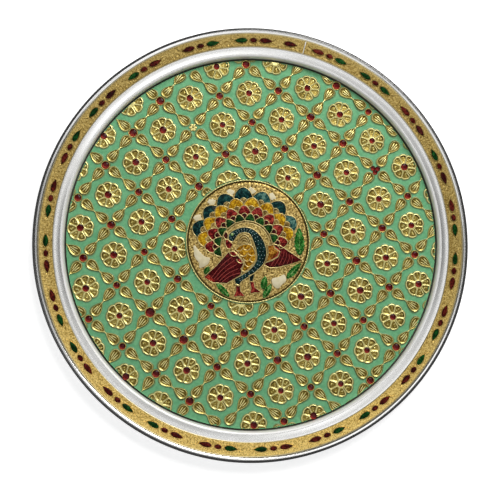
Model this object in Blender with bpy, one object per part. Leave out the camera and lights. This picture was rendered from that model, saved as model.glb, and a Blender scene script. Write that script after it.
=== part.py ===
"""Enamel plate: a round steel plate with a pressed gold sheet on its floor, mint enamel between
the pressed flowers and leaves, a peacock medallion in coloured enamel and a gold flange strip.

Metres, +Z up. The origin is the centre of the flat underside, and +Y is the top of the peacock.
"""

import math

import bmesh
import bpy
from mathutils import Vector
from mathutils.geometry import delaunay_2d_cdt

# Steel plate
OUTER_RADIUS = 0.140
OVERALL_HEIGHT = 0.009
SHEET = 0.0008
BEAD_RADIUS = 0.0020
BEAD_JOIN_ANGLE = 150.0
BEAD_CURL_END = -150.0
RIM_WIDTH = 0.0194
FOOT_FILLET = 0.0008
SHOULDER_FILLET = 0.0012
WALL_LEAN = 0.0004
FLANGE_RISE = 0.0014
TURN_STEPS = 64

# Layers on the floor
SEAT_GAP = 0.0003
EDGE_CLEARANCE = 0.0006
GOLD_SHEET = 0.0004
ENAMEL_DEPTH = 0.0005
RELIEF_ABOVE_ENAMEL = 0.0008
EDGE_BAND = 0.0009

# Lattice of flowers and leaf crosses, a chequered square grid
LATTICE_STEP = 0.01953
LATTICE_TILT = 6.2
LATTICE_ORIGIN = (-0.0121, -0.0011)
LEAST_SHOW = 0.0016

FLOWER_RADIUS = 0.0083
PETAL_NOTCH = 0.0014
PETAL_ANGLES = (-29.0, 14.0, 55.0, 96.0, 138.0, 185.0, 233.0, 277.0)

LEAF_WIDTH = 0.0062
LEAF_WIDEST_REACH = 0.0064
LEAF_TIP_GAP = 0.0010
CROSS_NOTCH_REACH = 0.0034

# Medallion
MEDALLION_CENTRE = (-0.0035, 0.0)
MEDALLION_RADIUS = 0.0402
MEDALLION_STEPS = 48
MEDALLION_DEPTH = 0.0011
ROPE_WIDTH = 0.0011
ROPE_DEPTH = 0.0014
CLOISON = 0.0005
FILL_DEPTH = 0.0004

# The picture is drawn in millimetres from the middle of a field of this radius
PICTURE_FIELD = 38.8
FAN_CENTRE = (-1.1, -3.5)
FAN_MIDDLE_ANGLE = 102.0
FAN_PITCH = 21.7
FAN_RING = 16.9
GREEN_RISE = 4.8
RUBY_RISE = 5.4
AMBER_RISE = 5.1
TEAL_RISE = 5.6
CREAM_DOT_RADIUS = 2.0
CREAM_DOT_LIFT = 4.3

# Strip on the flange
STRIP_EDGE_MARGIN = 0.0003
STRIP_WIDTH = 0.0084
STRIP_DEPTH = 0.0003
STRIP_SEAM_ANGLE = 75.6
STRIP_SEAM_GAP = 0.0006
DROP_LENGTH = 0.0074
DROP_WIDTH = 0.0033
DOT_LENGTH = 0.0037
DOT_WIDTH = 0.0027
DROP_RELIEF = 0.0003
DROP_OFFSET = 3.35
GROUP_PITCH = 15.25
FIRST_GROUP_ANGLE = 68.0
LONG_RUN_COUNT = 21
SHORT_RUN_ANGLE = 105.6
SHORT_RUN_COUNT = 2
SEAM_DOT_ANGLE = 83.6
SEAM_DROP_ANGLE = 79.7

# Heights and radii that follow
FLOOR_RADIUS = OUTER_RADIUS - RIM_WIDTH
SHEET_BASE = SHEET + SEAT_GAP
SHEET_TOP = SHEET_BASE + GOLD_SHEET
ENAMEL_BASE = SHEET_TOP + SEAT_GAP
ENAMEL_TOP = ENAMEL_BASE + ENAMEL_DEPTH
RELIEF_TOP = ENAMEL_TOP + RELIEF_ABOVE_ENAMEL
FILL_BASE = ENAMEL_BASE + MEDALLION_DEPTH + SEAT_GAP
SHEET_RADIUS = FLOOR_RADIUS - EDGE_CLEARANCE
RELIEF_RADIUS = SHEET_RADIUS - EDGE_BAND
ROPE_INNER = MEDALLION_RADIUS - ROPE_WIDTH
FIELD_RADIUS = ROPE_INNER - SEAT_GAP
MEDALLION_HOLE = MEDALLION_RADIUS + SEAT_GAP
RELIEF_HOLE = MEDALLION_HOLE + EDGE_BAND
LEAF_TIP_REACH = LATTICE_STEP / math.sqrt(2.0) - LEAF_TIP_GAP
PICTURE_SCALE = FIELD_RADIUS / PICTURE_FIELD


def material(name, colour, metallic, roughness):
    """A Principled material with the part's colour from the photo."""
    made = bpy.data.materials.new(name)
    made.use_nodes = True
    shader = made.node_tree.nodes["Principled BSDF"]
    shader.inputs["Base Color"].default_value = (*colour, 1.0)
    shader.inputs["Metallic"].default_value = metallic
    shader.inputs["Roughness"].default_value = roughness
    return made


def polar(radius, degrees, centre=(0.0, 0.0)):
    """The point at a radius and an angle from a centre."""
    angle = math.radians(degrees)
    return (centre[0] + radius * math.cos(angle), centre[1] + radius * math.sin(angle))


def circle(radius, steps, centre=(0.0, 0.0)):
    """An outline of equal steps round a centre."""
    return [polar(radius, 360.0 * k / steps, centre) for k in range(steps)]


def inset(outline, distance):
    """A counterclockwise outline drawn in by a distance, or out by a negative one."""
    moved = []
    for i, point in enumerate(outline):
        here = Vector(point)
        before = (here - Vector(outline[i - 1])).normalized()
        after = (Vector(outline[(i + 1) % len(outline)]) - here).normalized()
        inward = Vector((-before.y - after.y, before.x + after.x)).normalized()
        share = inward.dot(Vector((-before.y, before.x)))
        moved.append(tuple(here + inward * (distance / max(share, 0.35))))
    return moved


def add_object(name, mesh_data, surface, smooth_angle=None):
    """Turns a bmesh into a named object with its faces pointing out."""
    bmesh.ops.recalc_face_normals(mesh_data, faces=mesh_data.faces)
    mesh = bpy.data.meshes.new(name)
    mesh_data.to_mesh(mesh)
    mesh_data.free()
    mesh.materials.append(surface)
    if smooth_angle is not None:
        mesh.shade_smooth()
        mesh.set_sharp_from_angle(angle=math.radians(smooth_angle))
    made = bpy.data.objects.new(name, mesh)
    bpy.context.scene.collection.objects.link(made)
    return made


# Turned bodies

def join_rings(mesh_data, first, second):
    """Faces between two rings of a turned body, or between a ring and its pole."""
    steps = max(len(first), len(second))
    for k in range(steps):
        n = (k + 1) % steps
        if len(first) == 1:
            mesh_data.faces.new((first[0], second[k], second[n]))
        elif len(second) == 1:
            mesh_data.faces.new((first[k], second[0], first[n]))
        else:
            mesh_data.faces.new((first[k], second[k], second[n], first[n]))


def turned(profile, steps):
    """A body of revolution about Z. A profile that starts on the axis also ends on it."""
    mesh_data = bmesh.new()
    rings = []
    for radius, z in profile:
        plan = circle(radius, steps) if radius > 0.0 else [(0.0, 0.0)]
        rings.append([mesh_data.verts.new((x, y, z)) for x, y in plan])
    for first, second in zip(rings, rings[1:]):
        join_rings(mesh_data, first, second)
    if len(rings[0]) > 1:
        join_rings(mesh_data, rings[-1], rings[0])
    return mesh_data


def flat_ring(inner, outer, low, high):
    """The section of a flat ring, or of a disc where the inner radius is zero."""
    return [(inner, high), (outer, high), (outer, low), (inner, low)]


# Bodies drawn in plan

def level_ground(x, y):
    """The ground that a flat body is measured from."""
    return 0.0


def plan_triangles(outlines):
    """Triangles that fill counterclockwise outlines, each with the outlines it lies in."""
    points = []
    faces = []
    for outline in outlines:
        faces.append(list(range(len(points), len(points) + len(outline))))
        points += [Vector(point) for point in outline]
    corners, _, triangles, _, _, owners = delaunay_2d_cdt(points, [], faces, 1, 1e-6, True)
    places = [(round(corner.x, 8), round(corner.y, 8)) for corner in corners]
    return [
        (tuple(places[c] for c in triangle), set(owner))
        for triangle, owner in zip(triangles, owners) if owner
    ]


def plan_body(top, bottom, low, ground=level_ground):
    """A closed body. top has plan triangles with their heights, bottom has triangles at low."""
    mesh_data = bmesh.new()
    corners = {}

    def corner(place, height):
        key = (place, round(height, 8))
        if key not in corners:
            corners[key] = mesh_data.verts.new((*place, ground(*place) + height))
        return corners[key]

    beside = {}
    for triangle, height in top:
        mesh_data.faces.new([corner(place, height) for place in triangle])
        for i in range(3):
            edge = frozenset((triangle[i - 1], triangle[i]))
            beside.setdefault(edge, []).append(height)
    for triangle in bottom:
        mesh_data.faces.new([corner(place, low) for place in reversed(triangle)])
    for edge, heights in beside.items():
        foot = min(heights) if len(heights) == 2 else low
        head = max(heights)
        if head > foot:
            a, b = edge
            wall = (corner(a, foot), corner(b, foot), corner(b, head), corner(a, head))
            mesh_data.faces.new(wall)
    return mesh_data


# Steel plate

def bead_centre():
    """The middle of the rolled bead in the section."""
    return (OUTER_RADIUS - BEAD_RADIUS, OVERALL_HEIGHT - BEAD_RADIUS)


def flange_ends():
    """Inner and outer end of the flange's upper face in the section."""
    outer = polar(BEAD_RADIUS, BEAD_JOIN_ANGLE, bead_centre())
    inner_radius = FLOOR_RADIUS + WALL_LEAN + SHEET + SHOULDER_FILLET
    return (inner_radius, outer[1] - FLANGE_RISE), outer


def flange_height(x, y):
    """Height of the flange's upper face at a place of the plan."""
    inner, outer = flange_ends()
    share = (math.hypot(x, y) - inner[0]) / (outer[0] - inner[0])
    return inner[1] + share * (outer[1] - inner[1])


def sheet_section():
    """Upper and lower face of the plate's section, from the axis to the end of the curl."""
    flange_start = flange_ends()[0]
    foot_centre = (FLOOR_RADIUS - FOOT_FILLET, SHEET + FOOT_FILLET)
    shoulder_centre = (flange_start[0], flange_start[1] - SHEET - SHOULDER_FILLET)
    bead_angles = [BEAD_JOIN_ANGLE, 90.0, 45.0, 0.0, -45.0, -90.0, BEAD_CURL_END]
    upper = [(0.0, SHEET)]
    lower = [(0.0, 0.0)]
    for angle in (-90.0, -45.0, 0.0):
        upper.append(polar(FOOT_FILLET, angle, foot_centre))
        lower.append(polar(FOOT_FILLET + SHEET, angle, foot_centre))
    for angle in (180.0, 135.0, 90.0):
        upper.append(polar(SHOULDER_FILLET + SHEET, angle, shoulder_centre))
        lower.append(polar(SHOULDER_FILLET, angle, shoulder_centre))
    for angle in bead_angles:
        upper.append(polar(BEAD_RADIUS, angle, bead_centre()))
        lower.append(polar(BEAD_RADIUS - SHEET, angle, bead_centre()))
    return upper + lower[::-1]


def make_steel_plate(steel):
    add_object("steel_plate", turned(sheet_section(), TURN_STEPS), steel, 50.0)


# Pressed sheet and enamel ground

def lattice_places(parity, reach):
    """Places of the flowers (parity 0) or crosses (parity 1) whose figures show."""
    tilt = math.radians(LATTICE_TILT)
    along = Vector((math.cos(tilt), math.sin(tilt))) * LATTICE_STEP
    across = Vector((-math.sin(tilt), math.cos(tilt))) * LATTICE_STEP
    count = int(SHEET_RADIUS / LATTICE_STEP) + 3
    places = []
    for column in range(-count, count + 1):
        for row in range(-count, count + 1):
            place = Vector(LATTICE_ORIGIN) + along * column + across * row
            from_medallion = (place - Vector(MEDALLION_CENTRE)).length
            shows = place.length < RELIEF_RADIUS + reach - LEAST_SHOW
            clear = from_medallion > RELIEF_HOLE - reach + LEAST_SHOW
            if (column + row) % 2 == parity and shows and clear:
                places.append(tuple(place))
    return places


def flower_outline(centre):
    """Eight petals with a notch between neighbours."""
    points = []
    for k, angle in enumerate(PETAL_ANGLES):
        following = PETAL_ANGLES[k + 1] if k + 1 < len(PETAL_ANGLES) else PETAL_ANGLES[0] + 360.0
        points.append(polar(FLOWER_RADIUS, angle, centre))
        points.append(polar(FLOWER_RADIUS - PETAL_NOTCH, (angle + following) / 2.0, centre))
    return points


def flower_hole(centre):
    """The enamel's edge round a flower: straight from petal to petal, a gap away."""
    tips = [polar(FLOWER_RADIUS, angle, centre) for angle in PETAL_ANGLES]
    return inset(tips, -SEAT_GAP)


def cross_outline(centre):
    """Four leaves that meet at a crossing, with their tips along the diagonals."""
    points = []
    for quarter in range(4):
        angle = LATTICE_TILT + 45.0 + 90.0 * quarter
        widest = math.hypot(LEAF_WIDEST_REACH, LEAF_WIDTH / 2.0)
        swell = math.degrees(math.atan2(LEAF_WIDTH / 2.0, LEAF_WIDEST_REACH))
        points.append(polar(widest, angle - swell, centre))
        points.append(polar(LEAF_TIP_REACH, angle, centre))
        points.append(polar(widest, angle + swell, centre))
        points.append(polar(CROSS_NOTCH_REACH, angle + 45.0, centre))
    return points


def lattice_plan(figures, clearance):
    """Plan triangles of the floor, each with whether it is on the floor's sheet, outside the
    medallion, and in a figure that is cut off at the floor's edge and the medallion."""
    outlines = [
        circle(SHEET_RADIUS, TURN_STEPS),
        circle(RELIEF_RADIUS + clearance, TURN_STEPS),
        circle(MEDALLION_HOLE, MEDALLION_STEPS, MEDALLION_CENTRE),
        circle(RELIEF_HOLE - clearance, MEDALLION_STEPS, MEDALLION_CENTRE),
    ]
    plan = []
    for triangle, owners in plan_triangles(outlines + figures):
        on_sheet = 0 in owners
        outside = 2 not in owners
        in_figure = 1 in owners and 3 not in owners and max(owners) > 3
        plan.append((triangle, on_sheet, outside, in_figure))
    return plan


def make_pressed_sheet(gold):
    """One gold sheet: flat ground under the enamel, with raised flowers and leaf crosses."""
    figures = [flower_outline(place) for place in lattice_places(0, FLOWER_RADIUS)]
    figures += [cross_outline(place) for place in lattice_places(1, LEAF_TIP_REACH)]
    top = []
    for triangle, on_sheet, _, in_figure in lattice_plan(figures, 0.0):
        if on_sheet:
            top.append((triangle, RELIEF_TOP if in_figure else SHEET_TOP))
    bottom = [triangle for triangle, _ in top]
    add_object("pressed_sheet", plan_body(top, bottom, SHEET_BASE), gold)


def make_enamel_ground(mint):
    """Enamel poured round the figures, with a gap to each."""
    holes = [flower_hole(place) for place in lattice_places(0, FLOWER_RADIUS)]
    crosses = lattice_places(1, LEAF_TIP_REACH)
    holes += [inset(cross_outline(place), -SEAT_GAP) for place in crosses]
    triangles = []
    for triangle, on_sheet, outside, in_figure in lattice_plan(holes, SEAT_GAP):
        if on_sheet and outside and not in_figure:
            triangles.append(triangle)
    top = [(triangle, ENAMEL_TOP) for triangle in triangles]
    add_object("enamel_ground", plan_body(top, triangles, ENAMEL_BASE), mint)


# Medallion

def make_medallion_disc(gold):
    disc = flat_ring(0.0, FIELD_RADIUS, ENAMEL_BASE, ENAMEL_BASE + MEDALLION_DEPTH)
    rope = flat_ring(ROPE_INNER, MEDALLION_RADIUS, ENAMEL_BASE, ENAMEL_BASE + ROPE_DEPTH)
    for name, section in (("medallion_disc", disc), ("medallion_rope", rope)):
        made = add_object(name, turned(section, MEDALLION_STEPS), gold)
        made.location = (*MEDALLION_CENTRE, 0.0)


def add_fill(name, outline, enamel, in_front=()):
    """One enamel fill on the medallion's disc, less what is in front of it in the picture."""
    wire = CLOISON / 2.0
    outlines = [placed(outline, wire)] + [placed(other, -wire) for other in in_front]
    triangles = [triangle for triangle, owners in plan_triangles(outlines) if owners == {0}]
    top = [(triangle, FILL_BASE + FILL_DEPTH) for triangle in triangles]
    made = add_object(name, plan_body(top, triangles, FILL_BASE), enamel)
    made.location = (*MEDALLION_CENTRE, 0.0)


def placed(outline, distance):
    """An outline of the picture in metres, counterclockwise and drawn in by a distance."""
    if signed_area(outline) < 0.0:
        outline = outline[::-1]
    return inset([(x * PICTURE_SCALE, y * PICTURE_SCALE) for x, y in outline], distance)


def signed_area(outline):
    """Twice an outline's area, positive where it runs counterclockwise."""
    area = 0.0
    for i, (x, y) in enumerate(outline):
        area += outline[i - 1][0] * y - x * outline[i - 1][1]
    return area


def curve_through(points, steps):
    """A smooth run through points, without its last one, so that runs can follow each other."""
    run = []
    last = len(points) - 1
    for i in range(last):
        a = Vector(points[max(i - 1, 0)])
        b = Vector(points[i])
        c = Vector(points[i + 1])
        d = Vector(points[min(i + 2, last)])
        for k in range(steps):
            t = k / steps
            place = b + (c - a) * (t / 2.0)
            place += (a * 2.0 - b * 5.0 + c * 4.0 - d) * (t * t / 2.0)
            place += (b * 3.0 - a - c * 3.0 + d) * (t ** 3 / 2.0)
            run.append(tuple(place))
    return run


def fan_arch(middle, base, rise, shares):
    """Points of one scale's arch. A share of 1 is its right corner, 0 its tip, -1 its left."""
    points = []
    for share in shares:
        swell = (1.0 - abs(share) ** 1.6) ** 0.75
        points.append(polar(base + rise * swell, middle - share * FAN_PITCH / 2.0, FAN_CENTRE))
    return points


def fan_scale(middle, base, rise, inner_rise):
    """One scale of the tail: its own arch above, and the two arches of the row inside below."""
    outline = fan_arch(middle, base, rise, (1.0, 0.85, 0.5, 0.0, -0.5, -0.85, -1.0))
    if inner_rise:
        inner = base - inner_rise
        outline += fan_arch(middle + FAN_PITCH / 2.0, inner, inner_rise, (0.6, 1.0))
        outline += fan_arch(middle - FAN_PITCH / 2.0, inner, inner_rise, (-0.6,))
    return outline


def make_tail(green, ruby, amber, teal):
    """Four rows of scales, each row half a scale round from the one inside it."""
    rows = (
        ("green", green, -4.0, 9, GREEN_RISE),
        ("ruby", ruby, -4.5, 9, RUBY_RISE),
        ("amber", amber, -4.0, 8, AMBER_RISE),
        ("teal", teal, -3.5, 7, TEAL_RISE),
    )
    base = FAN_RING
    inner_rise = 0.0
    for colour, enamel, first, count, rise in rows:
        for k in range(count):
            middle = FAN_MIDDLE_ANGLE + FAN_PITCH * (first + k)
            outline = fan_scale(middle, base, rise, inner_rise)
            add_fill(f"tail_{colour}_{k + 1}", outline, enamel, far_wing_outlines())
        base += rise
        inner_rise = rise


def make_cream_fills(cream):
    """Pale dots in the corners of the outer row, and a pale patch on each side below."""
    reach = FAN_RING + GREEN_RISE + RUBY_RISE + AMBER_RISE + CREAM_DOT_LIFT
    for k in range(5):
        spot = polar(reach, FAN_MIDDLE_ANGLE + FAN_PITCH * (k - 2), FAN_CENTRE)
        add_fill(f"cream_dot_{k + 1}", circle(CREAM_DOT_RADIUS, 8, spot), cream)
    left = [
        (-34.8, -2.9), (-35.1, -7.0), (-34.2, -11.0), (-31.7, -14.3), (-31.2, -17.6),
        (-26.2, -15.4), (-24.6, -11.2), (-28.0, -10.1), (-31.2, -7.0),
    ]
    right = [
        (15.3, -24.4), (16.2, -28.6), (19.4, -30.6), (22.2, -27.8), (24.6, -25.6),
        (23.6, -21.5), (19.6, -23.1),
    ]
    add_fill("cream_patch_left", left, cream)
    add_fill("cream_patch_right", right, cream)


def far_wing_outlines():
    """The far wing's coverts and flight feathers, in front of the tail."""
    coverts = [
        (12.5, -3.0), (13.0, -8.4), (11.6, -13.2), (15.3, -11.9), (19.0, -9.9), (20.4, -6.8),
        (17.0, -4.5), (16.4, -2.1),
    ]
    flight = [
        (16.6, -2.1), (17.3, -4.4), (20.7, -6.7), (19.4, -10.1), (15.6, -12.3), (11.2, -14.0),
        (13.8, -17.0), (17.5, -17.4), (22.8, -16.0), (29.0, -14.3), (35.2, -12.2),
        (23.5, -4.4), (20.4, -2.5),
    ]
    return coverts, flight


def make_bird(teal, amber, ruby):
    """Head, neck and body in one sweep, with the breast, the wings and the legs."""
    back = [
        (-12.5, 0.2), (-12.6, 4.2), (-8.8, 7.4), (-2.7, 9.1), (4.0, 7.3), (9.5, 1.3),
        (11.9, -6.6), (10.3, -14.1), (4.2, -20.4), (-3.9, -25.9), (-5.3, -28.4),
    ]
    throat = [
        (-8.8, -24.5), (-3.7, -21.6), (1.6, -17.8), (5.3, -12.5), (5.2, -6.8), (3.4, -0.6),
        (0.9, 4.4), (-2.6, 5.4), (-6.3, 4.3), (-9.6, -0.3), (-12.5, 0.2),
    ]
    neck = curve_through(back, 2) + [back[-1], (-8.4, -28.0)] + curve_through(throat, 2)
    add_fill("peacock_neck", neck, teal)
    breast = curve_through([
        (-9.2, -6.2), (-5.2, -3.0), (-0.6, -1.9), (2.8, -3.6), (4.7, -8.0), (4.7, -12.5),
        (1.2, -17.4), (-4.0, -21.0),
    ], 2)
    breast += [(-4.0, -21.0), (-3.6, -17.6), (-2.2, -14.2), (-5.2, -10.2)]
    add_fill("peacock_breast", breast, amber)
    near_wing = [
        (-11.7, -8.0), (-20.0, -17.2), (-27.4, -24.3), (-22.0, -26.8), (-13.8, -27.4),
        (-9.4, -24.8), (-4.6, -22.0), (-4.2, -17.6), (-2.8, -14.2), (-5.8, -10.4), (-9.4, -6.8),
    ]
    add_fill("near_wing_flight", near_wing, ruby)
    coverts, flight = far_wing_outlines()
    add_fill("far_wing_coverts", coverts, amber)
    add_fill("far_wing_flight", flight, ruby)
    left_leg = [
        (-7.6, -29.0), (-7.2, -32.6), (-8.8, -36.0), (-5.4, -35.4), (-2.1, -35.6), (-5.2, -32.4),
        (-5.7, -29.0),
    ]
    add_fill("leg_left", left_leg, ruby)
    right_leg = [
        (1.0, -26.3), (2.2, -30.4), (1.6, -33.6), (4.6, -33.1), (8.0, -32.7), (3.9, -30.0),
        (3.1, -26.2),
    ]
    add_fill("leg_right", right_leg, ruby)


def make_sprigs(green):
    """Almond leaves round the bird: base, tip and width."""
    leaves = (
        ((33.6, -9.0), (33.4, 8.8), 5.0), ((25.2, -23.9), (34.2, -14.2), 3.4),
        ((10.0, -31.2), (11.6, -22.6), 3.4), ((10.4, -36.2), (15.0, -28.2), 3.4),
        ((-12.4, -35.7), (-19.6, -28.4), 3.2), ((-28.4, -22.0), (-25.6, -16.4), 2.8),
    )
    for k, (start, end, width) in enumerate(leaves):
        run = Vector(end) - Vector(start)
        side = Vector((-run.y, run.x)).normalized() * (width / 2.0)
        low = Vector(start) + run * 0.25
        high = Vector(start) + run * 0.65
        outline = [start, tuple(low - side * 0.9), tuple(high - side), end]
        outline += [tuple(high + side), tuple(low + side * 0.9)]
        add_fill(f"sprig_leaf_{k + 1}", outline, green)


# Strip on the flange

def strip_radii():
    """Inner and outer radius of the strip."""
    outer = flange_ends()[1][0] - STRIP_EDGE_MARGIN
    return outer - STRIP_WIDTH, outer


def strip_shape(points, angle, way):
    """Lays a small outline along the strip's middle. way is 1 clockwise and -1 the other way."""
    inner, outer = strip_radii()
    centre = polar((inner + outer) / 2.0, angle)
    heading = math.radians(angle - 90.0 * way)
    outline = []
    for along, across in points:
        x = centre[0] + along * math.cos(heading) - across * math.sin(heading)
        y = centre[1] + along * math.sin(heading) + across * math.cos(heading)
        outline.append((x, y))
    return outline


def drop_outline(angle, way):
    """A teardrop whose point is turned away from its group's dot."""
    half = DROP_WIDTH / 2.0
    end = DROP_LENGTH / 2.0
    points = [
        (-end, -0.4 * half), (-0.3 * end, -half), (end, 0.0), (-0.3 * end, half),
        (-end, 0.4 * half),
    ]
    return strip_shape(points, angle, way)


def dot_outline(angle):
    """A short almond in the middle of a group."""
    points = []
    for k in range(6):
        turn = math.radians(60.0 * k)
        points.append((DOT_LENGTH / 2.0 * math.cos(turn), DOT_WIDTH / 2.0 * math.sin(turn)))
    return strip_shape(points, angle, 1)


def strip_figures():
    """Drop, dot and drop in each group, and the odd dot and drop beside the seam."""
    angles = [FIRST_GROUP_ANGLE - GROUP_PITCH * k for k in range(LONG_RUN_COUNT)]
    angles += [SHORT_RUN_ANGLE - GROUP_PITCH * k for k in range(SHORT_RUN_COUNT)]
    figures = [dot_outline(SEAM_DOT_ANGLE), drop_outline(SEAM_DROP_ANGLE, 1)]
    for angle in angles:
        figures.append(drop_outline(angle + DROP_OFFSET, -1))
        figures.append(dot_outline(angle))
        figures.append(drop_outline(angle - DROP_OFFSET, 1))
    return figures


def make_rim_strip(gold):
    """An open band round the flange with raised seats for its drops and dots."""
    inner, outer = strip_radii()
    seam = math.degrees(STRIP_SEAM_GAP / inner)
    start = STRIP_SEAM_ANGLE + seam / 2.0
    angles = [start + (360.0 - seam) * k / TURN_STEPS for k in range(TURN_STEPS + 1)]
    band = [polar(outer, angle) for angle in angles]
    band += [polar(inner, angle) for angle in reversed(angles)]
    low = SEAT_GAP
    high = low + STRIP_DEPTH
    top = []
    for triangle, owners in plan_triangles([band] + strip_figures()):
        top.append((triangle, high + DROP_RELIEF if max(owners) > 0 else high))
    bottom = [triangle for triangle, _ in plan_triangles([band])]
    add_object("rim_strip", plan_body(top, bottom, low, flange_height), gold)


def main():
    for old in list(bpy.data.objects):
        bpy.data.objects.remove(old, do_unlink=True)

    steel = material("steel", (0.72, 0.72, 0.70), 1.0, 0.16)
    gold = material("gold", (0.72, 0.56, 0.24), 1.0, 0.34)
    mint = material("mint", (0.16, 0.42, 0.26), 0.0, 0.18)
    ruby = material("ruby", (0.28, 0.02, 0.03), 0.0, 0.16)
    teal = material("teal", (0.01, 0.09, 0.13), 0.0, 0.16)
    amber = material("amber", (0.62, 0.30, 0.03), 0.0, 0.18)
    green = material("green", (0.01, 0.15, 0.03), 0.0, 0.18)
    cream = material("cream", (0.72, 0.66, 0.50), 0.0, 0.30)

    make_steel_plate(steel)
    make_pressed_sheet(gold)
    make_enamel_ground(mint)
    make_medallion_disc(gold)
    make_tail(green, ruby, amber, teal)
    make_cream_fills(cream)
    make_bird(teal, amber, ruby)
    make_sprigs(green)
    make_rim_strip(gold)


main()
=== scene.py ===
"""Looks of the enamel plate: polished steel, pressed gold relief in mint enamel, a peacock
medallion in coloured enamels and a stippled gold strip round the flange.

Shapes are built in millimetres in the part's frame and turned into metres by add_piece.
"""

import math
import random

import bpy
import numpy as np
from mathutils import Matrix, Vector, noise


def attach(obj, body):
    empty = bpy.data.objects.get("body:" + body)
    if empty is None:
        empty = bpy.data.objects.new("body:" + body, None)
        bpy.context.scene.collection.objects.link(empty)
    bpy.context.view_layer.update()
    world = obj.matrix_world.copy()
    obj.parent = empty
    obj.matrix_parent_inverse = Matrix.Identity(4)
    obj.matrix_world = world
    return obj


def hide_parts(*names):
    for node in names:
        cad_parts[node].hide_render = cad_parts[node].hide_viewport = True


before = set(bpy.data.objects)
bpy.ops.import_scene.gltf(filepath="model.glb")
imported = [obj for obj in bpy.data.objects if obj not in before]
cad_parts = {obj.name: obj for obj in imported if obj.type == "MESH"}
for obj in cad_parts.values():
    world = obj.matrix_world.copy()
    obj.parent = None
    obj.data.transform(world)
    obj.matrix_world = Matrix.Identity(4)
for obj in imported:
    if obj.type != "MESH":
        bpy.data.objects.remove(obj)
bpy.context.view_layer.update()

MM = 0.001
BODY = "root"

# Steel plate, as in the part
OUTER_RADIUS = 140.0
OVERALL_HEIGHT = 9.0
SHEET = 0.8
BEAD_RADIUS = 2.0
BEAD_JOIN_ANGLE = 150.0
BEAD_CURL_END = -150.0
FLOOR_RADIUS = 120.6
FOOT_FILLET = 0.8
SHOULDER_FILLET = 1.2
WALL_LEAN = 0.4
FLANGE_RISE = 1.4
STEEL_STEPS = 288
FILLET_STEPS = 8
BEAD_STEPS = 30
FLOOR_RINGS = (0.0, 60.0, 105.0)

# Heights of the layers on the floor
SHEET_BASE = 1.1
SHEET_TOP = 1.5
FIGURE_BASE = 1.95
ENAMEL_BASE = 1.8
ENAMEL_TOP = 2.3
DISC_TOP = 2.9
FILL_BASE = 3.0
FILL_TOP = 3.6

# Limits of the relief
SHEET_RADIUS = 120.0
RELIEF_LIMIT = 119.6
ENAMEL_LIMIT = 119.8
MEDALLION_CENTRE = (-3.5, 0.0)
MEDALLION_LIMIT = 40.9
FIGURE_LIMIT = 41.4
LEAST_SHOW = 1.6
ENAMEL_CREEP = 0.30
CREEP_REACH = 1.6

# Lattice of flowers and leaf crosses
LATTICE_STEP = 19.46
LATTICE_TILT = 6.2
LATTICE_ORIGIN = (-12.1, -1.1)
LATTICE_REACH = 7
FLOWER_RADIUS = 8.5
CROSS_RADIUS = 13.6
PETAL_ANGLES = (-29.0, 14.0, 55.0, 96.0, 138.0, 185.0, 233.0, 277.0)
PETAL_CREST = 8.1
PETAL_SHOULDER = 6.5
HOLLOW_SHIFT = (0.22, 0.30)
STAMPS = 5
PETAL_SPREAD_LIMIT = 24.0
GAP_SPREAD = 21.5
LEAF_MIDDLE = 8.45
LEAF_LENGTH = 10.5
LEAF_WIDTH = 6.6
LEAF_POINT = 0.6
LEAF_LEAN = 4.5
LEAF_STEPS = 22

# Stones: their radii, the heights of their feet and tables, and the crossings that differ
FLOWER_STONE = 2.2
FLOWER_STONE_HEIGHTS = (3.0, 3.95)
CROSS_STONE = 2.3
CROSS_STONE_HEIGHTS = (2.5, 3.75)
SMALL_STONE = 1.7
SMALL_STONE_HEIGHTS = (2.45, 3.5)
STONE_WALL_GAP = 1.7
LARGER_STONES = {(-3, -2): 3.1, (-2, -3): 2.9}
ROSETTE_CROSSING = (-1, 4)
TRIPLE_CROSSING = (5, 2)

# Medallion picture: the fan of scales
FIELD_RADIUS = 38.8
FAN_CENTRE = (-1.1, -3.5)
FAN_MIDDLE_ANGLE = 104.8
FAN_PITCH = 21.7
FAN_RING = 16.9
WIRE = 0.24
FAR_LIFT = 0.12

# Strip on the flange
STRIP_INNER = 127.15
STRIP_OUTER = 136.2
STRIP_SEAM_ANGLE = 75.6
STRIP_HALF_SEAM = 0.13
DROP_RADIUS = 131.5
DROP_LENGTH = 8.3
DROP_WIDTH = 3.2
DROP_POINT = 0.35
DROP_STEPS = 18
DOT_LENGTH = 4.5
DOT_WIDTH = 2.9
DROP_OFFSET = 3.6
GROUP_PITCH = 15.25
FIRST_GROUP_ANGLE = 68.0
SHORT_RUN_ANGLE = 105.6
SEAM_DROP_ANGLE = 79.7

# Profiles of the raised figures: distance inward from the outline, and height. The heights
# of the dome and its collar are measured from the flange.
PETAL_PROFILE = (
    (-0.62, FIGURE_BASE), (-0.42, 2.50), (-0.24, 2.94), (0.10, 3.08), (0.40, 2.92),
    (0.54, 2.42), (0.86, 2.34),
)
LEAF_PROFILE = (
    (-0.30, FIGURE_BASE), (0.00, 2.50), (0.16, 2.94), (0.34, 3.08), (0.50, 2.94),
    (0.95, 2.48), (1.40, 2.44),
)
MENISCUS_PROFILE = ((-1.00, 2.28), (-0.55, 2.36), (-0.22, 2.50), (0.05, 2.72))
ROSETTE_PROFILE = ((-0.1, 1.9), (0.0, 2.5), (0.3, 2.85), (0.6, 2.9))
DOME_PROFILE = ((0.0, 0.2), (0.0, 0.62), (0.22, 0.82), (0.62, 0.95), (1.0, 0.98))
COLLAR_PROFILE = ((-0.62, 0.3), (-0.5, 0.72), (-0.28, 0.92), (-0.04, 0.74), (0.1, 0.5))

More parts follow.
